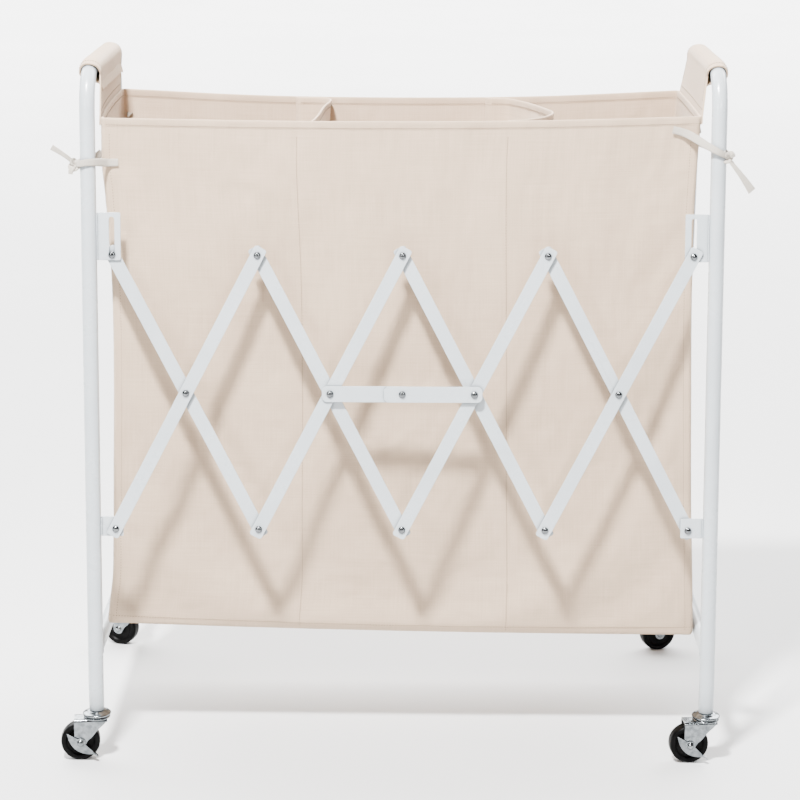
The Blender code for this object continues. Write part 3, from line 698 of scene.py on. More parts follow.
def lever_shape():
    """A half-moon brake lever pressed from sheet, with a dished hub and a bent toe."""
    upper = Vector((0.0168, 0.0138))
    lower = Vector((-0.0195, -0.0152))
    belly = Vector((0.0054, -0.0092))
    outline = []
    for share in np.linspace(0, 1, 15).tolist():
        flat = upper * (1 - share) ** 2 + lower * share**2
        outline.append(flat + 2 * share * (1 - share) * (2 * belly - (upper + lower) / 2))
    chord = math.atan2(upper.y - lower.y, upper.x - lower.x)
    for step in range(12):
        turn = chord + math.radians(160 - step * 12.7)
        outline.append(0.0066 * Vector((math.cos(turn), math.sin(turn))))
    low = FORK_HALF + 0.0005
    shape = Shape()
    count = len(outline)
    inset = [p * 0.965 for p in outline]
    rings = ((inset, low), (outline, low + 0.0003), (outline, low + 0.0013), (inset, low + 0.0016))
    verts = [(p.x, p.y, z) for points, z in rings for p in points]
    faces = band_faces(4, count, closed=True)
    faces += [list(range(count))[::-1], [3 * count + k for k in range(count)]]
    shape.add(verts, faces)
    hub = [(0.0001, low + 0.0014), (0.0001, low + 0.0022), (0.0040, low + 0.0022), (0.0052, low + 0.0019),
           (0.0058, low + 0.0012), (0.0001, low + 0.0012)]
    shape.join(turned([hub[-1], hub[-2], hub[-3], hub[-4], hub[1]], 32))
    outwards = Matrix.Rotation(-math.pi / 2, 4, "X") @ Matrix.Scale(-1, 4, (0, 1, 0))
    shape.moved(outwards)
    shape.faces = [face[::-1] for face in shape.faces]
    toe = [Vector((-0.0155, low + 0.0008, -0.0122)), Vector((-0.0180, low + 0.0010, -0.0141)),
           Vector((-0.0193, low + 0.0022, -0.0151)), Vector((-0.0198, low + 0.0050, -0.0155))]
    section = [(-0.0030, -0.0006), (0.0030, -0.0006), (0.0030, 0.0006), (-0.0030, 0.0006)]
    shape.join(swept(smooth_line(toe, 10), section, up=Vector((0.72, 0, -0.68))))
    return shape


def make_casters(zinc, black):
    for (end, side), turn in CASTER_TURN.items():
        corner = f"{end}_{side}"
        foot = Matrix.Translation((SIDES[side] * LEG_X, ENDS[end] * FOOT_Y, 0))
        own = foot @ Matrix.Rotation(math.radians(turn), 4, "Z")
        axle = own @ Matrix.Translation((TRAIL, 0, WHEEL_RADIUS))
        braked = end == "front"
        dish = dish_shape().moved(foot).build(f"dish_{corner}", zinc, sharp=50)
        finish_piece(dish, f"{side}_frame", "zinc", f"caster_stem_{corner}")
        fork = fork_shape().join(axle_shape(braked)).moved(own).build(f"fork_{corner}", zinc, sharp=40)
        finish_piece(fork, f"caster_{corner}", "zinc", f"caster_fork_{corner}")
        wheel = wheel_shape().moved(axle @ ABOUT_AXLE).build(f"wheel_{corner}", black, sharp=50)
        finish_piece(wheel, f"wheel_{corner}", "tyre", f"caster_wheel_{corner}")
        if braked:
            lever = lever_shape().moved(axle).build(f"brake_{corner}", zinc, sharp=40)
            finish_piece(lever, f"brake_{corner}", "zinc", f"brake_lever_{corner}")


# Cloth.


def band_normals(grid):
    """Unit normals of a band of points, by central differences."""
    down = np.gradient(grid, axis=0)
    across = np.gradient(grid, axis=1)
    normals = np.cross(across, down)
    lengths = np.linalg.norm(normals, axis=2, keepdims=True)
    return normals / np.maximum(lengths, 1e-12)


def thick_band(grid, thickness, cloth=None, closed=False, normals=None):
    """A closed solid round a band of points, half its thickness on each side. Closed wraps the columns."""
    rows, columns = grid.shape[:2]
    if normals is None:
        if closed:
            wrapped = np.concatenate([grid[:, -2:], grid, grid[:, :2]], axis=1)
            normals = band_normals(wrapped)[:, 2:-2]
        else:
            normals = band_normals(grid)
    half = thickness[..., None] / 2
    front = (grid + normals * half).reshape(-1, 3)
    back = (grid - normals * half).reshape(-1, 3)
    count = rows * columns
    faces = band_faces(rows, columns, closed)
    faces += band_faces(rows, columns, closed, start=count, flip=True)
    for row, flip in ((0, True), (rows - 1, False)):
        for c in range(columns if closed else columns - 1):
            after = (c + 1) % columns
            a, b = row * columns + c, row * columns + after
            quad = [a, b, b + count, a + count]
            faces.append(quad if not flip else quad[::-1])
    if not closed:
        for column, flip in ((0, False), (columns - 1, True)):
            for r in range(rows - 1):
                a, b = r * columns + column, (r + 1) * columns + column
                quad = [a, b, b + count, a + count]
                faces.append(quad if not flip else quad[::-1])
    shape = Shape()
    both = None if cloth is None else np.concatenate([cloth.reshape(-1, 3), cloth.reshape(-1, 3)])
    shape.add(np.concatenate([front, back]), faces, both)
    return shape


def ripple(points, scale, seed):
    """Smooth noise from -1 to 1 at each point, the same each time."""
    flat = points.reshape(-1, 3) * scale + seed
    values = np.array([noise.noise(Vector(p)) for p in flat])
    return values.reshape(points.shape[:-1])


# The bag. Its walls are one closed band: front, right end, rear, left end. A column is
# (share from left to right, share from front to rear, way it faces), so that any number of them can be made.

WALL_COLUMNS = (74, 26, 74, 26)
CORNER_COLUMNS = 3
WALL_ROWS = 62
LEFT_HALF_WIDTH = [(0.1495, 0.3785), (0.175, 0.3755), (0.21, 0.3708), (0.26, 0.3685), (0.36, 0.3655),
                   (0.45, 0.3628), (0.55, 0.3612), (0.62, 0.3620), (0.70, 0.3662), (0.76, 0.3700), (0.806, 0.3690)]
RIGHT_HALF_WIDTH = [(0.1495, 0.3745), (0.20, 0.3728), (0.32, 0.3672), (0.45, 0.3630), (0.60, 0.3592),
                    (0.70, 0.3592), (0.806, 0.3635)]
FRONT_RIM = [(0.0, 0.8035), (0.25, 0.8008), (0.5, 0.8002), (0.75, 0.8022), (1.0, 0.8075)]
REAR_RIM = [(0.0, 0.8092), (0.25, 0.8010), (0.5, 0.7988), (0.75, 0.8010), (1.0, 0.8092)]
BOTTOM_TILT = 0.0065
BOTTOM_DROP = 0.0045
BOTTOM_BELLY = 0.0032
RIM_BOW = {"left": 0.004, "right": 0.001}
LEFT_RIM_SKEW = 0.0045
DIVIDER_TOPS = {
    "left": [(-0.130, -0.1262), (-0.124, -0.080), (-0.116, -0.025), (-0.108, 0.030), (-0.104, 0.068),
             (-0.097, 0.104), (-0.099, 0.121), (-0.112, 0.1250), (-0.140, 0.1262)],
    "right": [(0.132, -0.1262), (0.156, -0.097), (0.180, -0.050), (0.190, 0.000), (0.181, 0.045),
              (0.165, 0.088), (0.146, 0.115), (0.1326, 0.1245), (0.112, 0.1262)],
}


DIVIDER_SAG = {
    "left": [(0.0, 0.0), (0.12, 0.0090), (0.35, 0.0130), (0.65, 0.0060), (0.85, 0.0020), (1.0, 0.0)],
    "right": [(0.0, 0.0), (0.3, 0.0030), (0.7, 0.0040), (1.0, 0.0)],
}


def wall_columns(times):
    """Every column of the walls, with `times` as many spans as the simulated cloth has."""
    corners = ((1, -1, -90), (1, 1, 0), (0, 1, 90), (0, -1, 180))
    columns = []
    for count, (across, deep, way) in zip(WALL_COLUMNS, corners):
        for k in range(count * times):
            share = k / (count * times)
            if way in (-90, 90):
                start = 1 - across
                columns.append((start + share * (across - start), deep, way))
            else:
                columns.append((across, -deep + share * 2 * deep, way))
        for k in range(CORNER_COLUMNS * times):
            columns.append((across, deep, way + 90 * k / (CORNER_COLUMNS * times)))
    return np.array(columns)


def rim_height(columns):
    front = through(FRONT_RIM, columns[:, 0])
    rear = through(REAR_RIM, columns[:, 0])
    deep = (columns[:, 1] + 1) / 2
    return front * (1 - deep) + rear * deep


def bottom_height(columns):
    across = 1 - 2 * columns[:, 0]
    return BOTTOM_Z - BOTTOM_DROP + BOTTOM_TILT * across - BOTTOM_BELLY * (1 - across**2)


def wall_rest(shares, columns):
    """The walls as cut and sewn, before the cloth settles: rows by share of the height, from the rim down."""
    shares = np.asarray(shares)[:, None]
    height = rim_height(columns) * (1 - shares) + bottom_height(columns) * shares
    nominal = RIM_Z + (BOTTOM_Z - RIM_Z) * shares
    turned_in = np.clip((shares - 0.992) / 0.008, 0, 1) ** 2 * 0.0016
    bow = (1 - columns[:, 1] ** 2) * np.exp(-shares / 0.12)
    skew = LEFT_RIM_SKEW * (columns[:, 1] + 1) / 2 * np.exp(-shares / 0.12)
    left = -through(LEFT_HALF_WIDTH, nominal) - RIM_BOW["left"] * bow - skew + turned_in
    right = through(RIGHT_HALF_WIDTH, nominal) + RIM_BOW["right"] * bow - turned_in
    way = np.radians(columns[:, 2])
    across = columns[:, 0]
    x = (left + CORNER_RADIUS) * (1 - across) + (right - CORNER_RADIUS) * across + CORNER_RADIUS * np.cos(way)
    depth = BAG_HALF_DEPTH - CORNER_RADIUS - turned_in
    y = depth * columns[:, 1] + CORNER_RADIUS * np.sin(way)
    return np.stack([x, y, height], axis=2)


def settle(rest, pinned, slack, pushes, closed=False, frames=24):
    """How far a sheet moves from its rest shape when its cloth, slightly too large, hangs from its pinned points."""
    rows, columns = rest.shape[:2]
    cloth = add_object("cloth", (rest + pushes).reshape(-1, 3), band_faces(rows, columns, closed), smooth=False)
    held = cloth.vertex_groups.new(name="held")
    held.add([int(k) for k in np.flatnonzero(pinned)], 1.0, "REPLACE")
    modifier = cloth.modifiers.new("cloth", "CLOTH")
    settings = modifier.settings
    settings.quality = 6
    settings.mass = 0.25
    settings.air_damping = 4
    settings.tension_stiffness = 60
    settings.compression_stiffness = 60
    settings.shear_stiffness = 30
    settings.bending_stiffness = 12
    settings.tension_damping = 25
    settings.bending_damping = 4
    settings.shrink_min = -slack
    settings.vertex_group_mass = "held"
    modifier.collision_settings.use_collision = False
    modifier.point_cache.frame_start = 1
    modifier.point_cache.frame_end = frames
    scene = bpy.context.scene
    for number in range(1, frames + 1):
        scene.frame_set(number)
    settled = cloth.evaluated_get(bpy.context.evaluated_depsgraph_get())
    values = np.empty(rows * columns * 3)
    settled.data.vertices.foreach_get("co", values)
    bpy.data.objects.remove(cloth)
    scene.frame_set(1)
    return values.reshape(rows, columns, 3) - rest


def cubic(values, places, axis, closed=False):
    """Smooth values between the steps of one axis of an array, read at fractional places."""
    values = np.moveaxis(values, axis, 0)
    count = len(values)
    places = np.asarray(places)
    k = np.floor(places).astype(int)
    if not closed:
        k = np.clip(k, 0, count - 2)
    t = (places - k).reshape(-1, *([1] * (values.ndim - 1)))
    steps = [k - 1, k, k + 1, k + 2]
    a, b, c, d = (values[s % count if closed else np.clip(s, 0, count - 1)] for s in steps)
    made = b + (c - a) * t / 2 + (2 * a - 5 * b + 4 * c - d) * t**2 / 2 + (3 * b - a - 3 * c + d) * t**3 / 2
    return np.moveaxis(made, 0, axis)


def hemmed_rows(height, hem, step=0.0062):
    """Distances down from a hemmed edge, close together on the hem, and the cloth's thickness at each."""
    folded = 0.0027
    distances = [0.0, 0.0004, 0.0012, 0.0030, hem - 0.0030, hem - 0.0023, hem - 0.0016, hem - 0.0009,
                 hem - 0.0002, hem + 0.0003, hem + 0.0012, hem + 0.0040]
    thickness = [0.0016, 0.0023, folded, folded, folded, 0.0024, 0.0021, 0.0025,
                 0.0024, 0.0017, CANVAS, CANVAS]
    count = int((height - hem - 0.0060) / step)
    lower = np.linspace(hem + 0.0090, height - 0.0040, count)
    last = [height - 0.0028, height - 0.0016, height - 0.0007, height]
    distances = np.concatenate([distances, lower, last])
    thickness = np.concatenate([thickness, np.full(len(lower) + 4, CANVAS)])
    return distances / height, thickness


def stitches(line, normals, pitch=0.0032, length=0.0021, radius=0.00042):
    """A row of stitches lying on a surface, along a line of points with the surface's normals."""
    points = [Vector(p) for p in line]
    facing = [Vector(n).normalized() for n in normals]
    lengths = [0.0]
    for first, second in zip(points, points[1:]):
        lengths.append(lengths[-1] + (second - first).length)
    shape = Shape()
    section = circle(1.0, 6)
    for number, start in enumerate(np.arange(pitch / 2, lengths[-1] - pitch, pitch)):
        k = min(max(int(np.searchsorted(lengths, start)) - 1, 0), len(points) - 2)
        t = (start - lengths[k]) / max(lengths[k + 1] - lengths[k], 1e-12)
        along = (points[k + 1] - points[k]).normalized()
        normal = facing[k].lerp(facing[k + 1], t).normalized()
        at = points[k].lerp(points[k + 1], t)
        sway = 0.00012 * math.sin(number * 2.1)
        across = along.cross(normal)
        ends = [(-0.5, -0.0002, 0.35), (-0.28, 0.00022, 0.9), (0.28, 0.00022, 0.9), (0.5, -0.0002, 0.35)]
        path = [at + along * length * a + normal * lift + across * sway for a, lift, _ in ends]
        one = swept(path, [(radius * x, radius * y) for x, y in section], sizes=[s for _, _, s in ends], up=normal)
        one.cloth = [(start * 40 + 0.3 * x, 0.1 * number, 0) for x in range(len(one.points))]
        shape.join(one)
    return shape


def bag_pushes(rest, columns):
    """Small folds that the settling starts from: long ones hanging from the rim and one slanting crease."""
    way = np.radians(columns[:, 2])
    outward = np.stack([np.cos(way), np.sin(way), np.zeros(len(way))], axis=1)
    long_folds = ripple(rest * (7.0, 7.0, 2.0), 1.0, 3.1) * 0.0085
    short_folds = ripple(rest * (17.0, 17.0, 9.0), 1.0, 8.7) * 0.0026
    slant = (rest[..., 0] + 0.175) * 0.35 + (rest[..., 2] - 0.722)
    along = np.exp(-((rest[..., 0] + 0.19) / 0.075) ** 2)
    crease = 0.0060 * np.exp(-(slant / 0.013) ** 2) * along * (rest[..., 1] < 0)
    shares = np.linspace(0, 1, len(rest))[:, None]
    free = np.sin(np.pi * np.clip(shares, 0, 1)) ** 0.6
    edge = 1 - np.abs(np.where(np.abs(np.cos(way)) < 0.01, 2 * columns[:, 0] - 1, columns[:, 1]))
    free = free * np.clip(edge / 0.12, 0, 1)
    return outward * ((long_folds + short_folds + crease) * free)[..., None]


def unrolled(grid, closed=False):
    """The cloth's own coordinates in metres: along its width and down its length, for the weave."""
    across = np.linalg.norm(np.diff(grid, axis=1), axis=2).mean(axis=0)
    down = np.linalg.norm(np.diff(grid, axis=0), axis=2).mean(axis=1)
    s = np.concatenate([[0], np.cumsum(across)])
    t = np.concatenate([[0], np.cumsum(down)])
    return np.stack(np.broadcast_arrays(s[None, :], t[:, None], 0.0 * t[:, None]), axis=2)


def squash_bag(piece):
    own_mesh(piece)


def settled_walls():
    """The fine grid of the walls after settling, its rows' shares and thickness, and its columns."""
    coarse = wall_columns(1)
    rest = wall_rest(np.linspace(0, 1, WALL_ROWS), coarse)
    pinned = np.zeros(rest.shape[:2], bool)
    pinned[0] = pinned[-1] = True
    pinned[:, coarse[:, 2] % 90 != 0] = True
    corner_starts = np.cumsum([count + CORNER_COLUMNS for count in WALL_COLUMNS]) - CORNER_COLUMNS
    for start in corner_starts:
        pinned[:, start] = True
        pinned[:, (start + CORNER_COLUMNS) % len(coarse)] = True
    moved = settle(rest, pinned, 0.0018, bag_pushes(rest, coarse), closed=True)
    moved = np.clip(moved, -0.011, 0.011)
    fine = wall_columns(2)
    shares, thickness = hemmed_rows(RIM_Z - BOTTOM_Z, HEM)
    moved = cubic(moved, shares * (WALL_ROWS - 1), 0)
    moved = cubic(moved, np.arange(len(fine)) / 2, 1, closed=True)
    return wall_rest(shares, fine) + moved, shares, thickness, fine


def wall_thickness(thickness, columns):
    """Thicker at the corners, where the side seams are folded and sewn down."""
    made = np.repeat(thickness[:, None], len(columns), axis=1)
    in_seam = columns[:, 2] % 90 != 0
    near = in_seam | np.roll(in_seam, 1) | np.roll(in_seam, -1) | np.roll(in_seam, -2) | np.roll(in_seam, 2)
    made[:, near] += 0.0009
    return made


def wall_outward(grid):
    wrapped = np.concatenate([grid[:, -2:], grid, grid[:, :2]], axis=1)
    return -band_normals(wrapped)[:, 2:-2]


def column_near(columns, across, way):
    """The column of the front (-90) or rear (90) wall nearest a share from left to right."""
    flat = np.where(columns[:, 2] == way, np.abs(columns[:, 0] - across), 9)
    return int(np.argmin(flat))


def divider_grid(side, shares, walls, fine, across_count):
    """One slack divider, from the front wall's inside to the rear wall's."""
    top = smooth_line([(x, y, 0) for x, y in DIVIDER_TOPS[side]], across_count)
    start, end = DIVIDER_TOPS[side][0][0], DIVIDER_TOPS[side][-1][0]
    span = 2 * RIM_HALF
    columns = [column_near(fine, (x + RIM_HALF) / span, way) for x, way in ((start, -90), (end, 90))]
    front, rear = (walls[:, c] for c in columns)
    front = front + np.array([0, 0.0018, 0])
    rear = rear - np.array([0, 0.0018, 0])
    u = np.linspace(0, 1, across_count)
    grid = np.empty((len(shares), across_count, 3))
    sag = through(DIVIDER_SAG[side], u)
    for row, share in enumerate(shares):
        slack = (1 - share) ** 1.2
        for c, place in enumerate(u):
            straight = front[row] * (1 - place) + rear[row] * place
            loose = np.array([top[c].x, top[c].y, straight[2]])
            ends = min(1.0, 14 * place, 14 * (1 - place))
            grid[row, c] = straight + (loose - straight) * slack * ends
            grid[row, c, 2] = straight[2] - sag[c] * (1 - share) + 0.0025 * share
    return grid


RIM_HALF = 0.364


def make_dividers(walls, fine, shares, canvas, threads):
    pieces = []
    for side in SIDES:
        height = RIM_Z - BOTTOM_Z
        rows, thickness = hemmed_rows(height, 0.009, 0.0085)
        at_walls = np.stack([np.stack([np.interp(rows, shares, walls[:, c, k]) for k in range(3)], axis=1)
                             for c in range(walls.shape[1])], axis=1)
        rest = divider_grid(side, rows, at_walls, fine, 45)
        coarse_rows = np.linspace(0, 1, 46)
        coarse = np.stack([np.stack([np.interp(coarse_rows, rows, rest[:, c, k]) for k in range(3)], axis=1)
                           for c in range(0, 45, 2)], axis=1)
        pushes = np.zeros_like(coarse)
        folds = ripple(coarse * (6.0, 11.0, 4.0), 1.0, 5.5 if side == "left" else 15.5)
        free = np.sin(np.pi * np.linspace(0, 1, coarse.shape[1]))[None, :] * np.ones((46, 1))
        free[0] = free[-1] = 0
        pushes[..., 0] = folds * free * 0.006
        pinned = np.zeros(coarse.shape[:2], bool)
        pinned[0] = pinned[-1] = True
        pinned[:, 0] = pinned[:, -1] = True
        moved = np.clip(settle(coarse, pinned, 0.002, pushes), -0.014, 0.014)
        moved = cubic(moved, rows * 45, 0)
        moved = cubic(moved, np.arange(45) / 2, 1)
        grid = rest + moved
        inside = BAG_HALF_DEPTH - 0.0024
        grid[:, 1:-1, 1] = np.clip(grid[:, 1:-1, 1], -inside, inside)
        solid = thick_band(grid, np.repeat(thickness[:, None], 45, axis=1), unrolled(grid))
        piece = solid.build(f"divider_{side}", canvas, sharp=70, cloth=True)
        normals = band_normals(grid)
        hem_row = 6
        seam = Shape()
        for face in (-1, 1):
            line = grid[hem_row] + normals[hem_row] * face * 0.0013
            seam.join(stitches(line[1:-1], normals[hem_row][1:-1] * face))
        sewn = seam.build(f"divider_thread_{side}", threads, cloth=True)
        for made in (piece, sewn):
            finish_piece(made, "left_frame", "canvas", *([f"bag_divider_{side}"] if made is piece else []))
            pieces.append(made)
    return pieces


def bottom_grid(walls, fine):
    """The bottom panel, whose edge runs into the middle of the walls' lower edge."""
    left, right = walls[-1, :, 0].min(), walls[-1, :, 0].max()
    depth = walls[-1, :, 1].max()
    a = np.concatenate([[-1, -0.994, -0.985], np.linspace(-0.97, 0.97, 74), [0.985, 0.994, 1]])
    b = np.concatenate([[-1, -0.985, -0.96], np.linspace(-0.92, 0.92, 26), [0.96, 0.985, 1]])
    grid = np.empty((len(b), len(a), 3))
    half, middle = (right - left) / 2, (right + left) / 2
    radius = CORNER_RADIUS
    for r, deep in enumerate(b):
        for c, across in enumerate(a):
            x, y = half * across, depth * deep
            over = Vector((max(abs(x) - half + radius, 0), max(abs(y) - depth + radius, 0)))
            if over.x > 0 and over.y > 0 and over.length > radius:
                over = over.normalized() * radius
                x = math.copysign(half - radius + over.x, x)
                y = math.copysign(depth - radius + over.y, y)
            level = BOTTOM_Z - BOTTOM_DROP - BOTTOM_TILT * across - BOTTOM_BELLY * (1 - across**2) + 0.0012
            sag = 0.0030 * (1 - across**2) * (1 - deep**2)
            grid[r, c] = (middle + x, y, level - sag)
    hump = ripple(grid * (9.0, 9.0, 1.0), 1.0, 21.0) * 0.0016
    grid[..., 2] += hump * ((1 - a[None, :] ** 2) * (1 - b[:, None] ** 2)) ** 0.5
    return grid


def make_bag(canvas, threads):
    walls, shares, thickness, fine = settled_walls()
    outward = wall_outward(walls)
    deep = wall_thickness(thickness, fine)
    solid = thick_band(walls, deep, unrolled(walls), closed=True)
    bag = solid.build("bag_walls", canvas, sharp=70, cloth=True)
    finish_piece(bag, "left_frame", "canvas", "bag_front_panel", "bag_rear_panel", "bag_left_panel", "bag_right_panel")
    floor = bottom_grid(walls, fine)
    bottom = thick_band(floor, np.full(floor.shape[:2], CANVAS), unrolled(floor)).build(
        "bag_bottom", canvas, sharp=70, cloth=True)
    finish_piece(bottom, "left_frame", "canvas", "bag_bottom_panel")
    sewing = Shape()
    hem_row = 6
    ring = list(range(len(fine))) + [0]
    for face in (-1, 1):
        off = outward[hem_row] * face
        line = walls[hem_row] + off * 0.0013
        sewing.join(stitches(line[ring], off[ring]))
    seam_columns = [column_near(fine, share, way) for way in (-90, 90) for share in (0.010, 0.990)]
    seam_columns += [column_near(fine, (x + RIM_HALF) / (2 * RIM_HALF), way)
                     for x, way in ((-0.130, -90), (0.132, -90), (-0.140, 90), (0.112, 90))]
    for column in seam_columns:
        line = walls[12:-2, column] + outward[12:-2, column] * (CANVAS / 2 + 0.0002)
        sewing.join(stitches(line, outward[12:-2, column], pitch=0.0036))
    low_row = len(shares) - 6
    line = walls[low_row] + outward[low_row] * (CANVAS / 2 + 0.0002)
    sewing.join(stitches(line[ring], outward[low_row][ring], pitch=0.0036))
    thread = sewing.build("bag_thread", threads, cloth=True)
    finish_piece(thread, "left_frame", "canvas")
    dividers = make_dividers(walls, fine, shares, canvas, threads)
    for piece in (bag, bottom, thread, *dividers):
        squash_bag(piece)
    return walls, fine


# Sleeves: each goes from the bag's end up over the top tube, and is sewn down on its own outer face.

SLEEVE_REACH = 0.1125
SLEEVE_LOOP = [(-0.0128, -0.0050), (-0.0127, 0.0010), (-0.0106, 0.0064), (-0.0056, 0.0100), (0.0002, 0.0110),
               (0.0060, 0.0098), (0.0098, 0.0055), (0.0110, 0.0000), (0.0099, -0.0054), (0.0060, -0.0098),
               (0.0002, -0.0116), (-0.0062, -0.0130), (-0.0118, -0.0152), (-0.0140, -0.0185), (-0.0158, -0.0262)]


def tube_top(place):
    """A point of the top tube's centre line and the up direction there, by distance from its middle."""
    straight = TOP_Y - TOP_BEND * math.tan((math.pi / 2 - SPLAY) / 2)
    over = max(abs(place) - straight, 0)
    turn = over / TOP_BEND
    y = min(abs(place), straight) + TOP_BEND * math.sin(turn)
    z = TOP_Z - TOP_BEND * (1 - math.cos(turn))
    return Vector((y * (1 if place > 0 else -1), z)), turn * (1 if place > 0 else -1)


def sleeve_grid(side, walls, fine):
    """Rows round the section, from the lap on the bag's end over the tube to the sewn edge; columns along it."""
    sign = SIDES[side]
    count = 62
    shares = np.concatenate([[-1, -0.992, -0.975, -0.945, -0.92], np.linspace(-0.89, 0.89, count), [0.92, 0.945, 0.975, 0.992, 1]])
    at_end = [k for k in range(len(fine)) if fine[k, 2] == (0 if side == "right" else 180)]
    order = sorted(at_end, key=lambda k: walls[0, k, 1])
    end_y = walls[0, order, 1]
    columns = []
    for share in shares:
        centre, turn = tube_top(share * SLEEVE_REACH)
        y = share * 0.1250
        rim = [float(np.interp(y, end_y, walls[row, order, axis])) for row, axis in ((0, 0), (0, 2), (9, 0), (9, 2))]
        loop = []
        for a, b in SLEEVE_LOOP:
            rise = Vector((math.sin(turn), math.cos(turn))) * b
            loop.append(Vector((sign * (LEG_X + a), centre.x + rise.x, centre.y + rise.y)))
        outer = sign * 0.0029
        low = Vector((rim[2] + outer, y, rim[3] + 0.0006))
        lap = Vector((rim[0] + outer, y, rim[1] + 0.0006))
        first = loop[0]
        flap = [low, lap, lap.lerp(first, 0.3), lap.lerp(first, 0.65)]
        columns.append(smooth_line(flap + loop, 74))
    grid = np.array([[tuple(p) for p in column] for column in columns]).transpose(1, 0, 2)
    waves = ripple(grid * (28.0, 28.0, 28.0), 1.0, 4.0 if side == "left" else 9.0)
    slow = ripple(grid * (9.0, 12.0, 9.0), 1.0, 31.0 if side == "left" else 2.0)
    spread_rows = np.ones(len(grid))
    spread_rows[:12] = np.linspace(0, 1, 12)
    spread_rows[46:] = 0.25
    push = (waves * 0.0004 + slow * 0.0009) * spread_rows[:, None]
    normals = band_normals(grid)
    inward = np.sign(np.sum(normals[20] * np.array([-sign, 0, 0.2]), axis=1).mean())
    return grid + normals * inward * np.clip(push + 0.0004, -0.0002, 0.002)[..., None], shares


def make_sleeves(canvas, threads, walls, fine):
    for side, sign in SIDES.items():
        grid, shares = sleeve_grid(side, walls, fine)
        rows, columns = grid.shape[:2]
        thickness = np.full((rows, columns), 0.0013)
        ends = np.abs(shares) > 0.94
        thickness[:, ends] = 0.0019
        thickness[0] = thickness[-1] = 0.0009
        solid = thick_band(grid, thickness, unrolled(grid))
        sleeve = solid.build(f"sleeve_{side}", canvas, sharp=70, cloth=True)
        finish_piece(sleeve, f"{side}_frame", "canvas", f"handle_sleeve_{side}")
        normals = band_normals(grid)
        outer = np.sign(np.sum(normals[2] * np.array([sign, 0, 0]), axis=1).mean())
        sewing = Shape()
        for row in (3, 68):
            facing = normals[row] * (outer if row == 3 else -outer)
            facing *= np.sign(np.sum(facing * np.array([sign, 0, 0]), axis=1).mean())
            sewing.join(stitches(grid[row] + facing * 0.0008, facing))
        flap_rows = slice(14, 64)
        for column in (3, columns - 4):
            facing = -normals[flap_rows, column] * outer
            sewing.join(stitches(grid[flap_rows, column] + facing * 0.0010, facing))
        inner_row = 9
        facing = -normals[inner_row] * outer
        sewing.join(stitches(grid[inner_row] + facing * 0.0008, facing))
        thread = sewing.build(f"sleeve_thread_{side}", threads, cloth=True)
        finish_piece(thread, f"{side}_frame", "canvas")


# Ties: tapes sewn in the bag's corners and knotted round the legs.

TIE_THICKNESS = 0.0009


def tape_section(width, thickness=TIE_THICKNESS):
    """A flat section with rounded edges: (across, through) offsets."""
    half, edge = width / 2, thickness / 2
    right = [(half - edge + edge * math.cos(t), edge * math.sin(t)) for t in (-1.1, 0.0, 1.1)]
    left = [(-x, -y) for x, y in right]
    return [(-half * 0.5, -edge), (half * 0.5, -edge)] + right + [(half * 0.5, edge), (-half * 0.5, edge)] + left


def tape(points, widths, count, flat_to, start=0.0):
    """A tape through points. flat_to gives, at a share of the way, the direction its face is turned to."""
    path = smooth_line(points, count)
    shape = Shape()
    width_at = through(list(zip(np.linspace(0, 1, len(widths)), widths)), np.linspace(0, 1, count))
    section = tape_section(1.0, 1.0)
    verts, cloth = [], []
    length = start
    for k, point in enumerate(path):
        tangent = (path[min(k + 1, count - 1)] - path[max(k - 1, 0)]).normalized()
        face = flat_to(k / (count - 1))
        across = tangent.cross(face).normalized()
        through_it = across.cross(tangent)
        if k:
            length += (point - path[k - 1]).length
        curl = 0.10 * math.sin(9 * k / count + start)
        for x, y in tape_section(float(width_at[k])):
            bow = curl * (abs(x) / 0.005) ** 2 * 0.002
            verts.append(point + across * x + through_it * (y + bow))
            cloth.append((x, length, 0))
    sides = len(section)
    faces = band_faces(count, sides, closed=True)
    faces.append(list(range(sides))[::-1])
    faces.append([(count - 1) * sides + k for k in range(sides)])
    shape.add(verts, faces, cloth)
    return shape, length


def knot(at, size, tilt):
    """A small overhand knot of tape pulled tight."""
    path = []
    for k in range(72):
        t = 2 * math.pi * k / 72
        reach = 2 + math.cos(3 * t)
        path.append(at + tilt @ (Vector((reach * math.cos(2 * t), reach * math.sin(2 * t), 1.25 * math.sin(3 * t))) * size))
    section = [(x * 0.0021, y * 0.0011) for x, y in circle(1.0, 10)]
    shape = swept(path, section, closed=True)
    shape.cloth = [(0.001 * (k % 10), 0.0007 * (k // 10), 0) for k in range(len(shape.points))]
    return shape


def drawn_in(point, side):
    """A point of a tie moved in towards the leg and away from the bag, where it is beyond the leg."""
    beyond = (point.x * SIDES[side]) - LEG_X
    if beyond <= 0:
        return point
    return Vector((SIDES[side] * (LEG_X + 0.35 * beyond), point.y - 0.35 * beyond - 0.001, point.z - 0.5 * beyond))


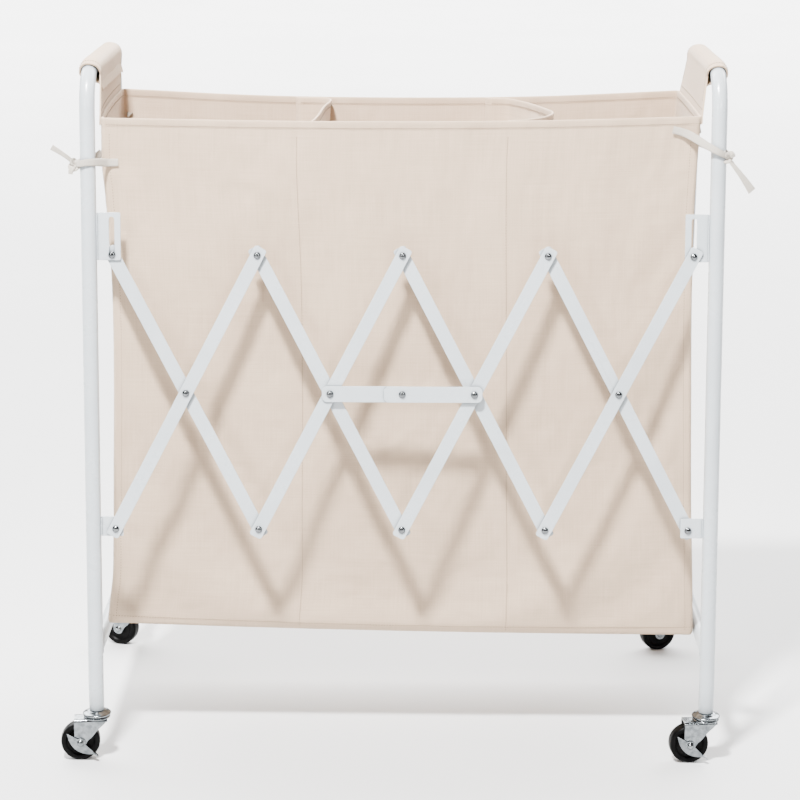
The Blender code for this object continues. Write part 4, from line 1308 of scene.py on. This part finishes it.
def make_ties(look):
    """The front ties are shaped one by one. The rear ones are the same, turned half round, with closer knots."""
    shapes = {
        "left": {
            "outer": [(-0.3500, -0.1291, 0.7490), (-0.3625, -0.1316, 0.7490), (-0.3740, -0.1500, 0.7520),
                      (-0.3850, -0.1578, 0.7528), (-0.3945, -0.1560, 0.7508), (-0.3995, -0.1515, 0.7492)],
            "inner": [(-0.3718, -0.1130, 0.7600), (-0.3722, -0.1225, 0.7590), (-0.3770, -0.1340, 0.7565),
                      (-0.3850, -0.1362, 0.7545), (-0.3945, -0.1400, 0.7515), (-0.3995, -0.1475, 0.7495)],
            "tail": [(-0.4000, -0.1500, 0.7490), (-0.4070, -0.1530, 0.7570), (-0.4170, -0.1545, 0.7645),
                     (-0.4275, -0.1550, 0.7712)],
            "short": [(-0.4000, -0.1510, 0.7490), (-0.4025, -0.1550, 0.7470), (-0.4045, -0.1570, 0.7430),
                      (-0.4050, -0.1570, 0.7385)],
            "knot": (-0.4005, -0.1500, 0.7490),
        },
        "right": {
            "outer": [(0.3300, -0.1293, 0.7915), (0.3480, -0.1322, 0.7865), (0.3700, -0.1525, 0.7750),
                      (0.3820, -0.1584, 0.7690), (0.3905, -0.1560, 0.7645), (0.3945, -0.1515, 0.7620)],
            "inner": [(0.3631, -0.1120, 0.7760), (0.3640, -0.1215, 0.7745), (0.3755, -0.1335, 0.7712),
                      (0.3850, -0.1360, 0.7680), (0.3930, -0.1400, 0.7645), (0.3950, -0.1470, 0.7625)],
            "tail": [(0.3950, -0.1505, 0.7615), (0.4010, -0.1550, 0.7530), (0.4130, -0.1570, 0.7380),
                     (0.4256, -0.1560, 0.7201)],
            "short": [(0.3930, -0.1530, 0.7610), (0.3950, -0.1560, 0.7650), (0.3990, -0.1580, 0.7665),
                      (0.4015, -0.1575, 0.7620)],
            "knot": (0.3950, -0.1502, 0.7616),
        },
    }
    tails = {"left": (0.0050, 0.0055, 0.0060, 0.0070), "right": (0.0048, 0.0062, 0.0085, 0.0112)}
    for end in ENDS:
        half_turn = Matrix.Identity(4) if end == "front" else Matrix.Rotation(math.pi, 4, "Z")
        for side in SIDES:
            source = side if end == "front" else ("right" if side == "left" else "left")
            parts = shapes[source]
            leg = Vector((SIDES[source] * LEG_X, -leg_y(0.76), 0))
            shape = Shape()
            total = 0.0
            for name, widths in (("outer", (0.009, 0.010, 0.009, 0.0065)), ("inner", (0.010, 0.009, 0.007)),
                                 ("tail", tails[source]), ("short", (0.005, 0.0065, 0.0060))):
                points = [Vector(p) for p in parts[name]]
                if end == "rear":
                    points = [drawn_in(p, source) for p in points]
                middle = points[len(points) // 2]
                away = (Vector((middle.x, middle.y, 0)) - leg).normalized()
                front = Vector((0, -1, 0.25))
                piece, length = tape(points, widths, 26, lambda share, a=away, f=front: (a * 0.4 + f).normalized()
                                     if name != "inner" else (Vector((0, 1, 0.1)) + a * 0.3).normalized(), total)
                total = length
                shape.join(piece)
            tilt = Matrix.Rotation(1.25, 3, "X") @ Matrix.Rotation(0.4, 3, "Y")
            at = Vector(parts["knot"])
            shape.join(knot(drawn_in(at, source) if end == "rear" else at, 0.0025, tilt))
            made = shape.moved(half_turn).build(f"tie_{end}_{side}", look, sharp=60, cloth=True)
            finish_piece(made, f"{side}_frame", "tape", f"bag_tie_{end}_{side}")


# Studio.


def area_light(name, place, aim, size, power):
    data = bpy.data.lights.new(name, "AREA")
    data.shape = "RECTANGLE"
    data.size, data.size_y = size
    data.energy = power
    light = bpy.data.objects.new(name, data)
    bpy.context.scene.collection.objects.link(light)
    light.location = place
    light.rotation_euler = (Vector(aim) - Vector(place)).to_track_quat("-Z", "Y").to_euler()


def make_stage():
    """A pale floor in a bright room that is darker behind the camera, a high key light and two side boxes."""
    world = bpy.data.worlds.new("studio")
    world.use_nodes = True
    nodes, links = world.node_tree.nodes, world.node_tree.links
    place = nodes.new("ShaderNodeTexCoord")
    turn = nodes.new("ShaderNodeMapping")
    turn.inputs["Rotation"].default_value = (0, math.radians(-90), math.radians(-62))
    rise = nodes.new("ShaderNodeTexGradient")
    ramp = nodes.new("ShaderNodeValToRGB")
    ramp.color_ramp.elements[0].color = (0.45, 0.455, 0.46, 1)
    ramp.color_ramp.elements[1].color = (1.0, 1.0, 1.0, 1)
    links.new(place.outputs["Generated"], turn.inputs["Vector"])
    links.new(turn.outputs["Vector"], rise.inputs["Vector"])
    links.new(rise.outputs["Fac"], ramp.inputs["Fac"])
    links.new(ramp.outputs["Color"], nodes["Background"].inputs["Color"])
    nodes["Background"].inputs["Strength"].default_value = 0.105
    bpy.context.scene.world = world
    look = Look("studio_floor", roughness=0.75)
    mottle = look.noise(look.place(), 1.3, 4, 0.5)
    pale = look.ramp(mottle, (0.3, (0.56, 0.56, 0.56)), (0.7, (0.59, 0.59, 0.59)))
    look.finish(pale, 0.75)
    points = [(-30, -24, 0), (30, -24, 0), (30, 40, 0), (-30, 40, 0)]
    floor = add_object("floor", points, [[0, 1, 2, 3]], look.material, smooth=False)
    area_light("key", (-0.62, -1.62, 3.2), (0, -0.1, 0.45), (0.36, 0.26), 600)
    area_light("left_box", (-1.43, -2.50, 1.38), (0, 0, 0.5), (0.34, 0.46), 33)
    area_light("right_box", (0.92, -2.65, 1.65), (0, 0, 0.5), (0.34, 0.46), 36)
    area_light("backdrop", (0, 12, 7), (0, 12, 0), (24, 18), 21000)


def main():
    make_camera()
    paint = paint_look()
    zinc = zinc_look()
    black = tyre_look()
    canvas = canvas_look("natural_canvas", 0.00085, (0.42, 0.30, 0.204), (0.60, 0.445, 0.316))
    threads = canvas_look("cotton_thread", 0.0004, (0.13, 0.085, 0.05), (0.24, 0.17, 0.11), 0.0001)
    tape_cloth = canvas_look("cotton_tape", 0.0007, (0.34, 0.305, 0.255), (0.50, 0.45, 0.385))
    make_tubes(paint)
    make_linkage(paint, rivet_look())
    make_casters(zinc, black)
    walls, fine = make_bag(canvas, threads)
    make_sleeves(canvas, threads, walls, fine)
    make_ties(tape_cloth)
    make_stage()


main()
